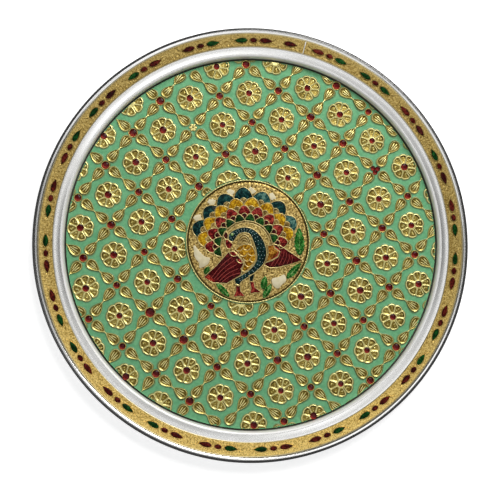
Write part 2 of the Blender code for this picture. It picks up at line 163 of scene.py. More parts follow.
# Turned profiles: radius and height
FLOWER_DISC = (
    (6.9, FIGURE_BASE), (6.9, 2.5), (3.3, 2.5), (2.65, 2.85), (2.2, 3.0), (1.8, 2.9),
)
ROPE_PROFILE = (
    (40.25, 1.8), (40.3, 2.7), (40.15, 3.1), (39.9, 3.25), (39.6, 3.1), (39.4, 2.4), (39.4, 1.8),
)

# Camera and stage
CAMERA_AZIMUTH = -39.4
CAMERA_ELEVATION = 84.51
CAMERA_ROLL = 0.19
CAMERA_LENS = 50.6
CAMERA_TARGET = (-0.00214, -0.00549, 0.0)
CAMERA_DISTANCE = 0.4576
FLOOR_SIZE = 6.0
FLOOR_LIFT = 0.62
CEILING_SHADES = (
    (-180.0, 0.04), (-166.0, 0.08), (-148.0, 1.05), (-120.0, 0.45), (-90.0, 0.55),
    (-62.0, 1.90), (-55.0, 1.40), (-49.0, 0.30), (-43.0, 0.75), (-30.0, 0.90), (-12.0, 0.14),
    (12.0, 0.14), (30.0, 0.62), (60.0, 0.54), (84.0, 0.62), (92.0, 1.50), (120.0, 1.60),
    (146.0, 1.60), (162.0, 0.30), (180.0, 0.04),
)

# Colours of the enamels: dark, middle and bright, then grain scale, bump and shine where
# they aren't the usual ones
ENAMELS = {
    "mint": ((0.14, 0.40, 0.20), (0.165, 0.445, 0.222), (0.20, 0.49, 0.25), 0.5, 0.25, 0.13),
    "green": ((0.002, 0.012, 0.002), (0.004, 0.028, 0.004), (0.022, 0.11, 0.018)),
    "leaf": ((0.004, 0.045, 0.004), (0.015, 0.12, 0.014), (0.10, 0.34, 0.07)),
    "ruby": ((0.045, 0.002, 0.003), (0.145, 0.006, 0.007), (0.46, 0.07, 0.045)),
    "bright_ruby": ((0.12, 0.006, 0.004), (0.30, 0.020, 0.012), (0.62, 0.14, 0.07)),
    "wing": ((0.018, 0.001, 0.001), (0.055, 0.003, 0.004), (0.14, 0.012, 0.012)),
    "amber": ((0.20, 0.085, 0.003), (0.47, 0.235, 0.005), (0.84, 0.56, 0.04)),
    "breast": ((0.11, 0.04, 0.002), (0.32, 0.145, 0.005), (0.66, 0.38, 0.03)),
    "orange": ((0.10, 0.025, 0.002), (0.28, 0.095, 0.006), (0.60, 0.32, 0.05)),
    "teal": ((0.001, 0.007, 0.007), (0.002, 0.022, 0.021), (0.022, 0.095, 0.085)),
    "light_teal": ((0.003, 0.025, 0.024), (0.018, 0.08, 0.072), (0.13, 0.26, 0.20)),
    "neck": ((0.001, 0.005, 0.005), (0.002, 0.014, 0.013), (0.012, 0.05, 0.045)),
    "dark_ruby": ((0.012, 0.001, 0.001), (0.035, 0.004, 0.004), (0.09, 0.015, 0.012)),
    "brown": ((0.06, 0.032, 0.006), (0.19, 0.12, 0.030), (0.50, 0.35, 0.12)),
    "cream": ((0.66, 0.58, 0.37), (0.74, 0.66, 0.43), (0.80, 0.72, 0.50), 0.4, 0.1),
    "pale_blue": ((0.30, 0.42, 0.40), (0.42, 0.56, 0.54), (0.56, 0.70, 0.68)),
    "vein": ((0.10, 0.24, 0.05), (0.24, 0.38, 0.12), (0.50, 0.56, 0.28)),
    "rim_red": ((0.02, 0.002, 0.002), (0.060, 0.004, 0.003), (0.15, 0.02, 0.012), 0.7),
    "rim_green": ((0.001, 0.012, 0.002), (0.002, 0.032, 0.004), (0.010, 0.09, 0.015), 0.7),
}

# The golds: low and high height, colours between them (painted shade at the low height,
# painted highlight at the high one), scale of the speckles and their spread
GOLDS = {
    "pressed_gold": (2.35, 3.0, (
        (0.0, (0.055, 0.038, 0.004)), (0.24, (0.19, 0.135, 0.022)),
        (0.55, (0.60, 0.49, 0.14)), (0.90, (0.74, 0.67, 0.28))), 1.25, 0.46),
    "stippled_gold": (2.60, 3.20, (
        (0.10, (0.075, 0.048, 0.012)), (0.45, (0.34, 0.225, 0.060)),
        (0.85, (0.82, 0.62, 0.23))), 1.0, 1.1),
    "strip_gold": (5.0, 9.5, (
        (0.10, (0.15, 0.097, 0.019)), (0.50, (0.40, 0.262, 0.062)),
        (0.85, (0.68, 0.50, 0.165))), 1.2, 1.25),
    # dull grey gold of the strip's rolled edges: a painted shade
    "strip_edge_gold": (5.0, 9.5, (
        (0.20, (0.26, 0.22, 0.12)), (0.80, (0.52, 0.45, 0.27))), 1.0, 0.36),
    "wire_gold": (2.6, 3.4, (
        (0.0, (0.28, 0.19, 0.06)), (0.45, (0.46, 0.34, 0.12)), (0.85, (0.68, 0.54, 0.23))),
        0.8, 0.36),
    "feather_line": (2.6, 3.4, (
        (0.0, (0.16, 0.010, 0.012)), (0.45, (0.30, 0.03, 0.03)), (0.85, (0.48, 0.09, 0.07))),
        0.8, 0.36),
}
# Painted light and shade on the strip's gold: shades by direction round the plate, brighter at the
# bottom and darker at the right and top
STRIP_PAINTED_LIGHT = (
    (-180.0, 0.94), (-150.0, 1.35), (-120.0, 1.5), (-90.0, 1.45), (-60.0, 1.5),
    (-30.0, 1.12), (0.0, 0.71), (60.0, 0.73), (120.0, 0.66), (180.0, 0.94),
)


# Mesh helpers

class Skin:
    """Points in millimetres, with faces and their material numbers, that grow into one mesh."""

    def __init__(self):
        self.points = []
        self.faces = []
        self.surfaces = []
        self.count = 0

    def add(self, shape, degrees=0.0, place=(0.0, 0.0), surface=0):
        """Adds a shape of (points, faces), turned about the vertical and moved to a place."""
        points, faces = shape
        start = self.count
        self.points.append(turn_and_move(points, degrees, place))
        self.faces += [tuple(corner + start for corner in face) for face in faces]
        self.surfaces += [surface] * len(faces)
        self.count += len(points)


def add_piece(name, skin, materials, replaced=(), smooth=40.0):
    """Turns a skin into a named piece of the plate."""
    mesh = bpy.data.meshes.new(name)
    points = np.vstack(skin.points) * MM
    mesh.from_pydata(points.tolist(), [], skin.faces)
    mesh.polygons.foreach_set("material_index", skin.surfaces)
    for surface in materials:
        mesh.materials.append(surface)
    mesh.validate()
    if smooth:
        mesh.shade_smooth()
        mesh.set_sharp_from_angle(angle=math.radians(smooth))
    piece = bpy.data.objects.new(name, mesh)
    bpy.context.scene.collection.objects.link(piece)
    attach(piece, BODY)
    if replaced:
        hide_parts(*replaced)


def polar(radius, degrees, centre=(0.0, 0.0)):
    angle = math.radians(degrees)
    return (centre[0] + radius * math.cos(angle), centre[1] + radius * math.sin(angle))


def turn_and_move(points, degrees, place):
    """Points turned about the vertical and moved to a place of the plan."""
    angle = math.radians(degrees)
    moved = np.array(points, float)
    x, y = moved[:, 0].copy(), moved[:, 1].copy()
    moved[:, 0] = x * math.cos(angle) - y * math.sin(angle) + place[0]
    moved[:, 1] = x * math.sin(angle) + y * math.cos(angle) + place[1]
    return moved


def loft(rings, caps=True, closed=False):
    """A skin over rings of equal count that follow each other, counterclockwise as seen from
    the last one. It has caps, open ends, or its last ring joined to its first."""
    count = len(rings[0])
    total = len(rings)
    faces = []
    for r in range(total if closed else total - 1):
        here = r * count
        there = (r + 1) % total * count
        for k in range(count):
            n = (k + 1) % count
            faces.append((here + k, here + n, there + n, there + k))
    if caps and not closed:
        faces.append(tuple(reversed(range(count))))
        faces.append(tuple(range((total - 1) * count, total * count)))
    return np.vstack(rings), faces


def at_height(outline, height):
    """A flat outline as a ring of points."""
    outline = np.asarray(outline, float)
    return np.column_stack((outline, np.full(len(outline), height)))


def round_ring(radius, count, height):
    turn = np.arange(count) * (2.0 * math.pi / count)
    return np.column_stack((radius * np.cos(turn), radius * np.sin(turn), np.full(count, height)))


def turned(profile, count, caps=True):
    """A turned body from a profile of (radius, height)."""
    return loft([round_ring(radius, count, height) for radius, height in profile], caps)


def teardrop(length, width, sharpness, count, pinch=1.0):
    """An outline with its round end at the left and its point at the right. A pinch above 1
    gives the round end a point too."""
    turn = np.arange(count) * (2.0 * math.pi / count)
    swell = np.sign(np.sin(turn)) * np.abs(np.sin(turn)) ** pinch
    swell *= ((1.0 + np.cos(turn)) / 2.0) ** sharpness
    return np.column_stack((
        -length / 2.0 * np.cos(turn),
        -width / 2.0 * swell / swell.max(),
    ))


def teardrop_rings(length, width, sharpness, count, profile, pinch=1.0):
    """Rings of a teardrop body whose section follows a profile of (distance inward, height)."""
    rings = []
    for distance, height in profile:
        outline = teardrop(
            length - 2.0 * distance, width - 2.0 * distance, sharpness, count, pinch)
        rings.append(at_height(outline, height))
    return rings


def unit(vectors):
    return vectors / np.maximum(np.linalg.norm(vectors, axis=1, keepdims=True), 1e-9)


def tube(path, radius, height, closed, sides=6):
    """A round wire along a flat path."""
    path = np.asarray(path, float)
    if closed:
        before = np.roll(path, 1, axis=0)
        after = np.roll(path, -1, axis=0)
    else:
        before = np.vstack((path[:1], path[:-1]))
        after = np.vstack((path[1:], path[-1:]))
    heading = unit(after - before)
    side = np.column_stack((heading[:, 1], -heading[:, 0]))
    turn = np.arange(sides) * (2.0 * math.pi / sides) + math.pi / sides
    sections = []
    for place, across in zip(path, side):
        flat = place + np.outer(np.cos(turn), across) * radius
        sections.append(np.column_stack((flat, height + np.sin(turn) * radius)))
    return loft(sections, closed=closed)


def ridge(start, end, width, low, high, steps=6):
    """A raised line that tapers to both ends, from one point of the plan to the other."""
    start = np.array(start)
    end = np.array(end)
    heading = (end - start) / np.linalg.norm(end - start)
    side = np.array((-heading[1], heading[0]))
    sections = []
    for k in range(steps):
        share = k / (steps - 1)
        swell = 0.25 + 0.75 * math.sin(math.pi * share) ** 0.6
        place = start + (end - start) * share
        half = side * (width / 2.0 * swell)
        crest = low + (high - low) * swell
        sections.append(np.array((
            (*(place + half), low), (*(place + half * 0.62), crest),
            (*(place - half * 0.62), crest), (*(place - half), low),
        )))
    return loft(sections)


def smooth_run(points, steps, closed=False):
    """Points of a smooth curve through the given ones."""
    points = [Vector(point) for point in points]
    last = len(points) - 1
    run = []
    for i in range(len(points) if closed else last):
        if closed:
            a, b, c, d = (points[(i + j) % len(points)] for j in (-1, 0, 1, 2))
        else:
            a, b, c, d = (points[min(max(i + j, 0), last)] for j in (-1, 0, 1, 2))
        for k in range(steps):
            t = k / steps
            place = b + (c - a) * (t / 2.0)
            place += (a * 2.0 - b * 5.0 + c * 4.0 - d) * (t * t / 2.0)
            place += (b * 3.0 - a - c * 3.0 + d) * (t ** 3 / 2.0)
            run.append(tuple(place))
    if not closed:
        run.append(tuple(points[-1]))
    return run


def signed_area(outline):
    """Twice an outline's area, positive where it runs counterclockwise."""
    x, y = np.asarray(outline, float).T
    return float(np.sum(np.roll(x, 1) * y - x * np.roll(y, 1)))


def inset(outline, distance):
    """A counterclockwise outline drawn in by a distance."""
    outline = np.asarray(outline, float)
    before = unit(outline - np.roll(outline, 1, axis=0))
    after = unit(np.roll(outline, -1, axis=0) - outline)
    inward = unit(np.column_stack((-before[:, 1] - after[:, 1], before[:, 0] + after[:, 0])))
    share = inward[:, 0] * -before[:, 1] + inward[:, 1] * before[:, 0]
    return outline + inward * (distance / np.maximum(share, 0.5))[:, None]


def grain(x, y, scale, seed):
    """Smooth noise between -1 and 1 at a place, with grains of about 1 / scale."""
    return noise.noise(Vector((x * scale, y * scale, seed)))


# Materials

def set_inputs(tree, made, inputs):
    """Sets a node's inputs, given by name or number: a socket is linked, a value is set."""
    for key, value in inputs.items():
        if isinstance(value, bpy.types.NodeSocket):
            tree.links.new(value, made.inputs[key])
        else:
            made.inputs[key].default_value = value


def node(tree, kind, inputs, **settings):
    """A shader node with its settings and inputs."""
    made = tree.nodes.new("ShaderNode" + kind)
    for key, value in settings.items():
        setattr(made, key, value)
    set_inputs(tree, made, inputs)
    return made


def maths(tree, operation, *values, clamp=False):
    made = node(tree, "Math", dict(enumerate(values)), operation=operation, use_clamp=clamp)
    return made.outputs[0]


def ramp(tree, factor, stops):
    """A colour ramp with stops of (place, colour)."""
    made = node(tree, "ValToRGB", {"Fac": factor})
    elements = made.color_ramp.elements
    while len(elements) < len(stops):
        elements.new(0.5)
    for element, (place, colour) in zip(elements, stops):
        element.position = place
        element.color = (*colour, 1.0)
    return made.outputs["Color"]


def map_range(tree, value, low, high, first=0.0, last=1.0):
    """Goes from first to last as the value goes from low to high."""
    return node(tree, "MapRange", {0: value, 1: low, 2: high, 3: first, 4: last}).outputs[0]


def mix_colours(tree, share, first, second, blend="MIX"):
    made = node(
        tree, "Mix", {0: share, 6: first, 7: second}, data_type="RGBA", blend_type=blend)
    return made.outputs[2]


def position(tree):
    """The place on the part, in millimetres."""
    place = node(tree, "NewGeometry", {}).outputs["Position"]
    return node(tree, "VectorMath", {0: place, 3: 1000.0}, operation="SCALE").outputs["Vector"]


def height_of(tree, place):
    return node(tree, "SeparateXYZ", {0: place}).outputs[2]


def noise_of(tree, place, scale, detail=2.0):
    made = node(tree, "TexNoise", {
        "Vector": place, "Scale": scale, "Detail": detail, "Roughness": 0.6})
    return made.outputs["Fac"]


def by_direction(tree, shades):
    """A shade by the direction from the middle, from stops of (degrees, shade)."""
    place = node(tree, "TexCoord", {}).outputs["Object"]
    turn = node(tree, "TexGradient", {0: place}, gradient_type="RADIAL")
    return ramp(tree, turn.outputs["Fac"], [
        ((angle + 180.0) / 360.0, (shade, shade, shade)) for angle, shade in shades])


def add_bump(tree, shader, height, strength, distance):
    made = node(tree, "Bump", {
        "Height": height, "Strength": strength, "Distance": distance * MM})
    tree.links.new(made.outputs["Normal"], shader.inputs["Normal"])


def new_material(name):
    """A material, its node tree and its shader."""
    made = bpy.data.materials.new(name)
    made.use_nodes = True
    return made, made.node_tree, made.node_tree.nodes["Principled BSDF"]


def steel_material():
    """Polished steel with faint turning lines and soft stains of handling. The wall inside
    is satin, with a painted shade that darkens its foot where it meets the enamel."""
    made, tree, shader = new_material("polished_steel")
    place = position(tree)
    height = height_of(tree, place)
    flat = node(tree, "VectorMath", {0: place, 1: (1.0, 1.0, 0.0)}, operation="MULTIPLY")
    radius = node(tree, "VectorMath", {0: flat.outputs[0]}, operation="LENGTH").outputs["Value"]
    above_floor = map_range(tree, height, 0.85, 1.5)
    satin = map_range(tree, radius, 122.2, 123.2, above_floor, 0.0)
    # painted shade: the wall's foot, below 2.8 to 3.8 mm, is painted dark brown-grey
    foot = map_range(tree, height, 2.8, 3.8, satin, 0.0)
    clean = ramp(tree, noise_of(tree, place, 0.045), [
        (0.3, (0.80, 0.795, 0.77)), (0.7, (0.88, 0.88, 0.87))])
    rings = node(tree, "TexNoise", {
        "W": radius, "Scale": 4.0, "Detail": 3.0}, noise_dimensions="1D").outputs["Fac"]
    polish = map_range(tree, rings, 0.0, 1.0, 0.10, 0.20)
    set_inputs(tree, shader, {
        "Base Color": mix_colours(tree, foot, clean, (0.14, 0.135, 0.10, 1.0)),
        "Roughness": node(tree, "Mix", {0: satin, 2: polish, 3: 0.40}).outputs[0],
        "Metallic": map_range(tree, satin, 0.0, 1.0, 1.0, 0.20)})
    add_bump(tree, shader, rings, 0.15, 0.02)
    return made


def gold_material(name, painted_light=()):
    """Pressed gold sheet coloured by height: a painted shade makes its hollows dark brown and a
    painted highlight makes its ridges bright. A shade by direction, where given, paints light and
    shade round the plate over the colour."""
    low, high, stops, speckle, spread = GOLDS[name]
    made, tree, shader = new_material(name)
    place = position(tree)
    lift = map_range(tree, height_of(tree, place), low, high)
    grains = noise_of(tree, place, speckle, 3.0)
    shift = maths(tree, "MULTIPLY_ADD", grains, 2.0 * spread, -spread)
    # painted shade and highlight: the colour ramp by height darkens the hollows and brightens the
    # ridges
    colour = ramp(tree, maths(tree, "ADD", lift, shift, clamp=True), stops)
    if painted_light:
        # painted light and shade by direction round the plate, multiplied into the colour
        colour = mix_colours(tree, 1.0, colour, by_direction(tree, painted_light), "MULTIPLY")
    set_inputs(tree, shader, {
        "Base Color": colour, "Metallic": 0.55, "Specular IOR Level": 0.12,
        "Roughness": map_range(tree, grains, 0.0, 1.0, 0.22, 0.44)})
    add_bump(tree, shader, noise_of(tree, place, 1.6, 3.0), 0.5, 0.12)
    return made


def enamel_material(name, dark, middle, bright, grain_scale=1.0, bump=0.25, shine=0.06):
    """Glossy enamel with cloudy colour and fine grains under the surface."""
    made, tree, shader = new_material(name)
    place = position(tree)
    cloud = maths(tree, "MULTIPLY", noise_of(tree, place, grain_scale * 0.25), 0.45)
    grains = noise_of(tree, place, grain_scale, 3.0)
    level = maths(tree, "MULTIPLY_ADD", grains, 0.55, cloud, clamp=True)
    set_inputs(tree, shader, {
        "Base Color": ramp(tree, level, [(0.40, dark), (0.5, middle), (0.62, bright)]),
        "Roughness": 0.24, "Specular IOR Level": shine})
    add_bump(tree, shader, noise_of(tree, place, 0.9), bump, 0.25)
    return made


def mint_edge_material():
    """Mint enamel that thins out over the gold as it rises and turns olive, with a painted shade: a
    darker green band on the way up to the gold.
    """
    made, tree, shader = new_material("mint_edge")
    place = position(tree)
    lift = map_range(tree, height_of(tree, place), ENAMEL_TOP, 2.70)
    # painted shade: the darker green stop at 0.35 of the rise
    set_inputs(tree, shader, {
        "Base Color": ramp(tree, lift, [
            (0.0, (0.165, 0.395, 0.215)), (0.35, (0.15, 0.32, 0.15)),
            (1.0, (0.26, 0.24, 0.07))]),
        "Roughness": 0.3, "Specular IOR Level": 0.2})
    add_bump(tree, shader, noise_of(tree, place, 0.9), 0.25, 0.25)
    return made


def stone_material():
    """Dark ruby glass with painted light: facets that face the lower left are painted bright red,
    as if lit from inside, the rest dark.
    """
    made, tree, shader = new_material("ruby_stone")
    # painted light: the colour follows which way each facet faces
    facing = node(tree, "NewGeometry", {}).outputs["True Normal"]
    glow = node(tree, "VectorMath", {0: facing, 1: (-0.45, -0.80, 0.0)}, operation="DOT_PRODUCT")
    fine = noise_of(tree, position(tree), 0.7)
    level = maths(tree, "MULTIPLY_ADD", fine, 0.45, glow.outputs["Value"], clamp=True)
    set_inputs(tree, shader, {
        "Base Color": ramp(tree, level, [
            (0.05, (0.035, 0.002, 0.002)), (0.38, (0.15, 0.007, 0.006)),
            (0.78, (0.80, 0.085, 0.05))]),
        "Roughness": 0.12, "Specular IOR Level": 0.15})
    return made


# Steel plate

def bead_centre():
    return (OUTER_RADIUS - BEAD_RADIUS, OVERALL_HEIGHT - BEAD_RADIUS)


def flange_ends():
    outer = polar(BEAD_RADIUS, BEAD_JOIN_ANGLE, bead_centre())
    inner_radius = FLOOR_RADIUS + WALL_LEAN + SHEET + SHOULDER_FILLET
    return (inner_radius, outer[1] - FLANGE_RISE), outer


def flange_height(x, y):
    """Height of the flange's upper face at a place, or at arrays of places."""
    inner, outer = flange_ends()
    share = (np.hypot(x, y) - inner[0]) / (outer[0] - inner[0])
    return inner[1] + share * (outer[1] - inner[1])


def on_flange(shape):
    """A shape whose heights are measured from the flange's upper face."""
    points = np.array(shape[0], float)
    points[:, 2] += flange_height(points[:, 0], points[:, 1])
    return points, shape[1]


def make_steel(steel):
    """The plate's section, from its axis to the end of the curl, turned about the axis."""
    shoulder_radius, flange_start = flange_ends()[0]
    foot = (FLOOR_RADIUS - FOOT_FILLET, SHEET + FOOT_FILLET)
    shoulder = (shoulder_radius, flange_start - SHEET - SHOULDER_FILLET)
    upper = [(radius, SHEET) for radius in FLOOR_RINGS]
    lower = [(radius, 0.0) for radius in FLOOR_RINGS]
    for centre, over, under, first, last, steps in (
            (foot, FOOT_FILLET, FOOT_FILLET + SHEET, -90.0, 0.0, FILLET_STEPS),
            (shoulder, SHOULDER_FILLET + SHEET, SHOULDER_FILLET, 180.0, 90.0, FILLET_STEPS),
            (bead_centre(), BEAD_RADIUS, BEAD_RADIUS - SHEET, BEAD_JOIN_ANGLE, BEAD_CURL_END,
             BEAD_STEPS)):
        for k in range(steps + 1):
            angle = first + (last - first) * k / steps
            upper.append(polar(over, angle, centre))
            lower.append(polar(under, angle, centre))
    skin = Skin()
    skin.add(turned(lower[1:] + upper[:0:-1], STEEL_STEPS))
    add_piece("polished_plate", skin, [steel], ["steel_plate"], 50.0)


# Relief

def lattice_places(parity, reach, closer=0.0):
    """Column, row and place of the flowers (parity 0) or crosses (parity 1) that show. Closer
    lets them come nearer to the wall."""
    shown = []
    for column in range(-LATTICE_REACH, LATTICE_REACH + 1):
        for row in range(-LATTICE_REACH, LATTICE_REACH + 1):
            foot = polar(LATTICE_STEP * column, LATTICE_TILT, LATTICE_ORIGIN)
            place = polar(LATTICE_STEP * row, LATTICE_TILT + 90.0, foot)
            inside = math.hypot(*place) < RELIEF_LIMIT + reach + closer - LEAST_SHOW
            clear = math.dist(place, MEDALLION_CENTRE) > FIGURE_LIMIT - reach + LEAST_SHOW
            if (column + row) % 2 == parity and inside and clear:
                shown.append((column, row, place))
    return shown


def trimmed(points, faces, outer, inner):
    """A figure cut off at the floor's edge and at the medallion: what reaches past a limit is
    drawn back to it, and faces wholly past it are dropped."""
    reach = np.hypot(points[:, 0], points[:, 1])
    over = reach > outer
    points[over, :2] *= (outer / reach[over])[:, None]
    away = points[:, :2] - MEDALLION_CENTRE
    reach = np.maximum(np.hypot(away[:, 0], away[:, 1]), 1e-6)
    under = reach < inner
    points[under, :2] = MEDALLION_CENTRE + away[under] * (inner / reach[under])[:, None]
    past = over | under
    return points, [face for face in faces if not all(past[corner] for corner in face)]


def hollow(rings, degrees, share):
    """A hollow figure turned to its direction. Its floor is shifted by a share of the whole
    shift, so that the slope at the lower left is wide and the other one steep."""
    moved = []
    for k, ring in enumerate(rings):
        shift = share if k >= len(rings) - 2 else 0.0
        place = (HOLLOW_SHIFT[0] * shift, HOLLOW_SHIFT[1] * shift)
        moved.append(turn_and_move(ring, degrees, place))
    return loft(moved)


def petal_spreads():
    """For each petal its direction and the spread to its neighbours' crests on both sides."""
    spreads = []
    last = len(PETAL_ANGLES) - 1
    for k, angle in enumerate(PETAL_ANGLES):
        right = GAP_SPREAD if k == 0 else (angle - PETAL_ANGLES[k - 1]) / 2.0
        left = GAP_SPREAD if k == last else (PETAL_ANGLES[k + 1] - angle) / 2.0
        spreads.append((angle, min(right, PETAL_SPREAD_LIMIT), min(left, PETAL_SPREAD_LIMIT)))
    return spreads


def petal_outline(right, left, margin):
    """A wedge with a rounded outer end that points along X, drawn in by a margin from the
    crests that it shares with its neighbours."""
    def half_width(x, spread):
        slope = math.radians(spread)
        return x * math.tan(slope) - margin / math.cos(slope)

    least = (0.12 + margin * 1.08) / math.tan(math.radians(min(right, left)))
    near = max(FLOWER_STONE + 0.35 + max(margin, 0.0), least)
    middle = (near + PETAL_SHOULDER) / 2.0
    outline = [(near, -half_width(near, right) * 0.8), (middle, -half_width(middle, right))]
    for k in range(11):
        turn = math.radians(-90.0 + 18.0 * k)
        reach = (PETAL_CREST - margin - PETAL_SHOULDER) * math.cos(turn)
        half = half_width(PETAL_SHOULDER, right if k < 5 else left)
        outline.append((PETAL_SHOULDER + reach, half * math.sin(turn)))
    outline += [(middle, half_width(middle, left)), (near, half_width(near, left) * 0.8)]
    outline.append((near - 0.1, 0.0))
    return outline


def add_flower(skin, picker):
    """Eight hollow petals that share their crests, each with two scratches on its floor, on a
    low disc with a seat for the stone."""
    for angle, right, left in petal_spreads():
        filled = picker.choice((0.0, 0.04, 0.10, 0.20))
        rings = [at_height(petal_outline(right, left, margin), height)
                 for margin, height in PETAL_PROFILE]
        for ring in rings[-2:]:
            ring[:, 2] += filled
        skin.add(hollow(rings, angle, 0.6))
        for reach in (4.8, 6.0):
            middle = (reach + picker.uniform(-0.4, 0.4), picker.uniform(-0.5, 0.5))
            heading = picker.uniform(0.0, 180.0)
            half = picker.uniform(0.6, 1.15)
            scratch = ridge(
                polar(half, heading, middle), polar(-half, heading, middle),
                picker.uniform(0.7, 1.2), 2.33, picker.uniform(2.6, 2.95), 5)
            skin.add(scratch, angle, (0.08, 0.10))
    skin.add(turned(FLOWER_DISC, 24))


def cross_angles():
    return [LATTICE_TILT + 45.0 + 90.0 * quarter for quarter in range(4)]


def add_cross(skin, picker):
    """Four hollow leaves on the diagonals, each with three veins, none quite like the next."""
    tip_reach = LATTICE_STEP / math.sqrt(2.0)
    middle = LEAF_MIDDLE - tip_reach
    for angle in cross_angles():
        heading = angle + picker.uniform(-LEAF_LEAN, LEAF_LEAN)
        tip = polar(tip_reach, angle)
        rings = teardrop_rings(LEAF_LENGTH, LEAF_WIDTH, LEAF_POINT, LEAF_STEPS, LEAF_PROFILE)
        skin.add(hollow([ring + (middle, 0.0, 0.0) for ring in rings], heading, 1.0), 0.0, tip)
        for lane in (-1.6, 0.0, 1.6):
            side = lane + picker.uniform(-0.15, 0.15)
            start = middle - 4.0 + 0.7 * abs(lane) + picker.uniform(-0.3, 0.3)
            end = middle + 3.6 - abs(lane) + picker.uniform(-0.5, 0.5)
            vein = ridge((start, side), (end, side * 0.5), 0.9, 2.4, 3.0)
            skin.add(vein, heading, (tip[0] + 0.1, tip[1] + 0.12))
        stalk = ridge((middle + 3.2, 0.3), (middle + 6.2, -0.2), 0.8, 2.2, 3.02)
        skin.add(stalk, heading, tip)


def flower_rise():
    """The enamel's rise round a flower."""
    rings = []
    for distance, height in MENISCUS_PROFILE:
        ring = Skin()
        for angle, right, left in petal_spreads():
            outline = petal_outline(right, left, distance - 0.42)[3:12]
            ring.add((at_height(outline, height), []), angle)
        rings.append(np.vstack(ring.points))
    rise = Skin()
    rise.add(loft(rings, caps=False))
    return rise


def cross_rise():
    """The enamel's rise round the four leaves of a cross."""
    leaf = teardrop_rings(LEAF_LENGTH, LEAF_WIDTH, LEAF_POINT, LEAF_STEPS, MENISCUS_PROFILE)
    rise = Skin()
    for angle in cross_angles():
        rise.add(loft(leaf, caps=False), angle, polar(LEAF_MIDDLE, angle))
    return rise


def copy_figures(name, figures, places, surface, node_name, medallion_limit, wall_limit):
    """One piece with a copy of a figure at each place, by turns, cut off at the limits."""
    skin = Skin()
    for k, place in enumerate(places):
        figure = figures[(k * k + k // 3) % len(figures)]
        moved = turn_and_move(np.vstack(figure.points), 0.0, place)
        skin.add(trimmed(moved, figure.faces, wall_limit, medallion_limit))
    add_piece(name, skin, [surface], [node_name])


def make_relief(gold, mint, mint_edge):
    """Flowers and leaf crosses of the pressed sheet, the sheet's ground, and the enamel."""
    picker = random.Random(11)
    flowers = [place for _, _, place in lattice_places(0, FLOWER_RADIUS)]
    crosses = [place for _, _, place in lattice_places(1, CROSS_RADIUS)]
    for name, add_figure, places in (
            ("pressed_flowers", add_flower, flowers), ("pressed_leaves", add_cross, crosses)):
        stamps = [Skin() for _ in range(STAMPS)]
        for stamp in stamps:
            add_figure(stamp, picker)
        copy_figures(
            name, stamps, places, gold, "pressed_sheet", MEDALLION_LIMIT, RELIEF_LIMIT)
    ground = Skin()
    ground.add(turned(((SHEET_RADIUS, SHEET_BASE), (SHEET_RADIUS, SHEET_TOP)), 180))
    add_piece("pressed_ground", ground, [gold], ["pressed_sheet"])
    for name, rise, places in (
            ("enamel_rise_flowers", flower_rise(), flowers),
            ("enamel_rise_leaves", cross_rise(), crosses)):
        copy_figures(
            name, [rise], places, mint_edge, "enamel_ground", MEDALLION_LIMIT - 0.3,
            ENAMEL_LIMIT)
    make_enamel(mint)


def make_enamel(mint):
    """The enamel's slab between the medallion and the wall, with a gently uneven face that
    creeps up the wall."""
    turns = 260
    rows = 64
    near = MEDALLION_LIMIT - 0.6
    centre = np.array(MEDALLION_CENTRE)
    rings = [[] for _ in range(rows)]
    for k in range(turns):
        heading = np.array(polar(1.0, 360.0 * k / turns))
        reach = centre @ heading
        far = -reach + math.sqrt(reach ** 2 - centre @ centre + ENAMEL_LIMIT ** 2)
        for r in range(rows):
            share = r / (rows - 1)
            x, y = centre + heading * (near + (far - near) * share)
            uneven = 0.045 * grain(x, y, 0.16, 3.0) + 0.02 * grain(x, y, 0.5, 8.0)
            from_wall = (far - near) * (1.0 - share)
            creep = ENAMEL_CREEP * max(0.0, 1.0 - from_wall / CREEP_REACH) ** 2
            rings[r].append((x, y, ENAMEL_TOP + uneven + creep))
    rings = [np.array(ring) for ring in rings]
    inner_foot, outer_foot = (at_height(ring[:, :2], ENAMEL_BASE) for ring in (rings[0], rings[-1]))
    skin = Skin()
    skin.add(loft([outer_foot] + rings[::-1] + [inner_foot], closed=True))
    add_piece("enamel_face", skin, [mint], ["enamel_ground"])


# Stones

def faceted(radius, low, high, sides=9):
    """A cut stone: girdle, crown and table with flat facets."""
    crown = round_ring(radius * 0.72, sides, low + (high - low) * 0.78)
    return loft([
        round_ring(radius * 0.96, sides, low), round_ring(radius, sides, low + 0.25),
        turn_and_move(crown, 180.0 / sides, (0.0, 0.0)), round_ring(radius * 0.42, sides, high),
    ])


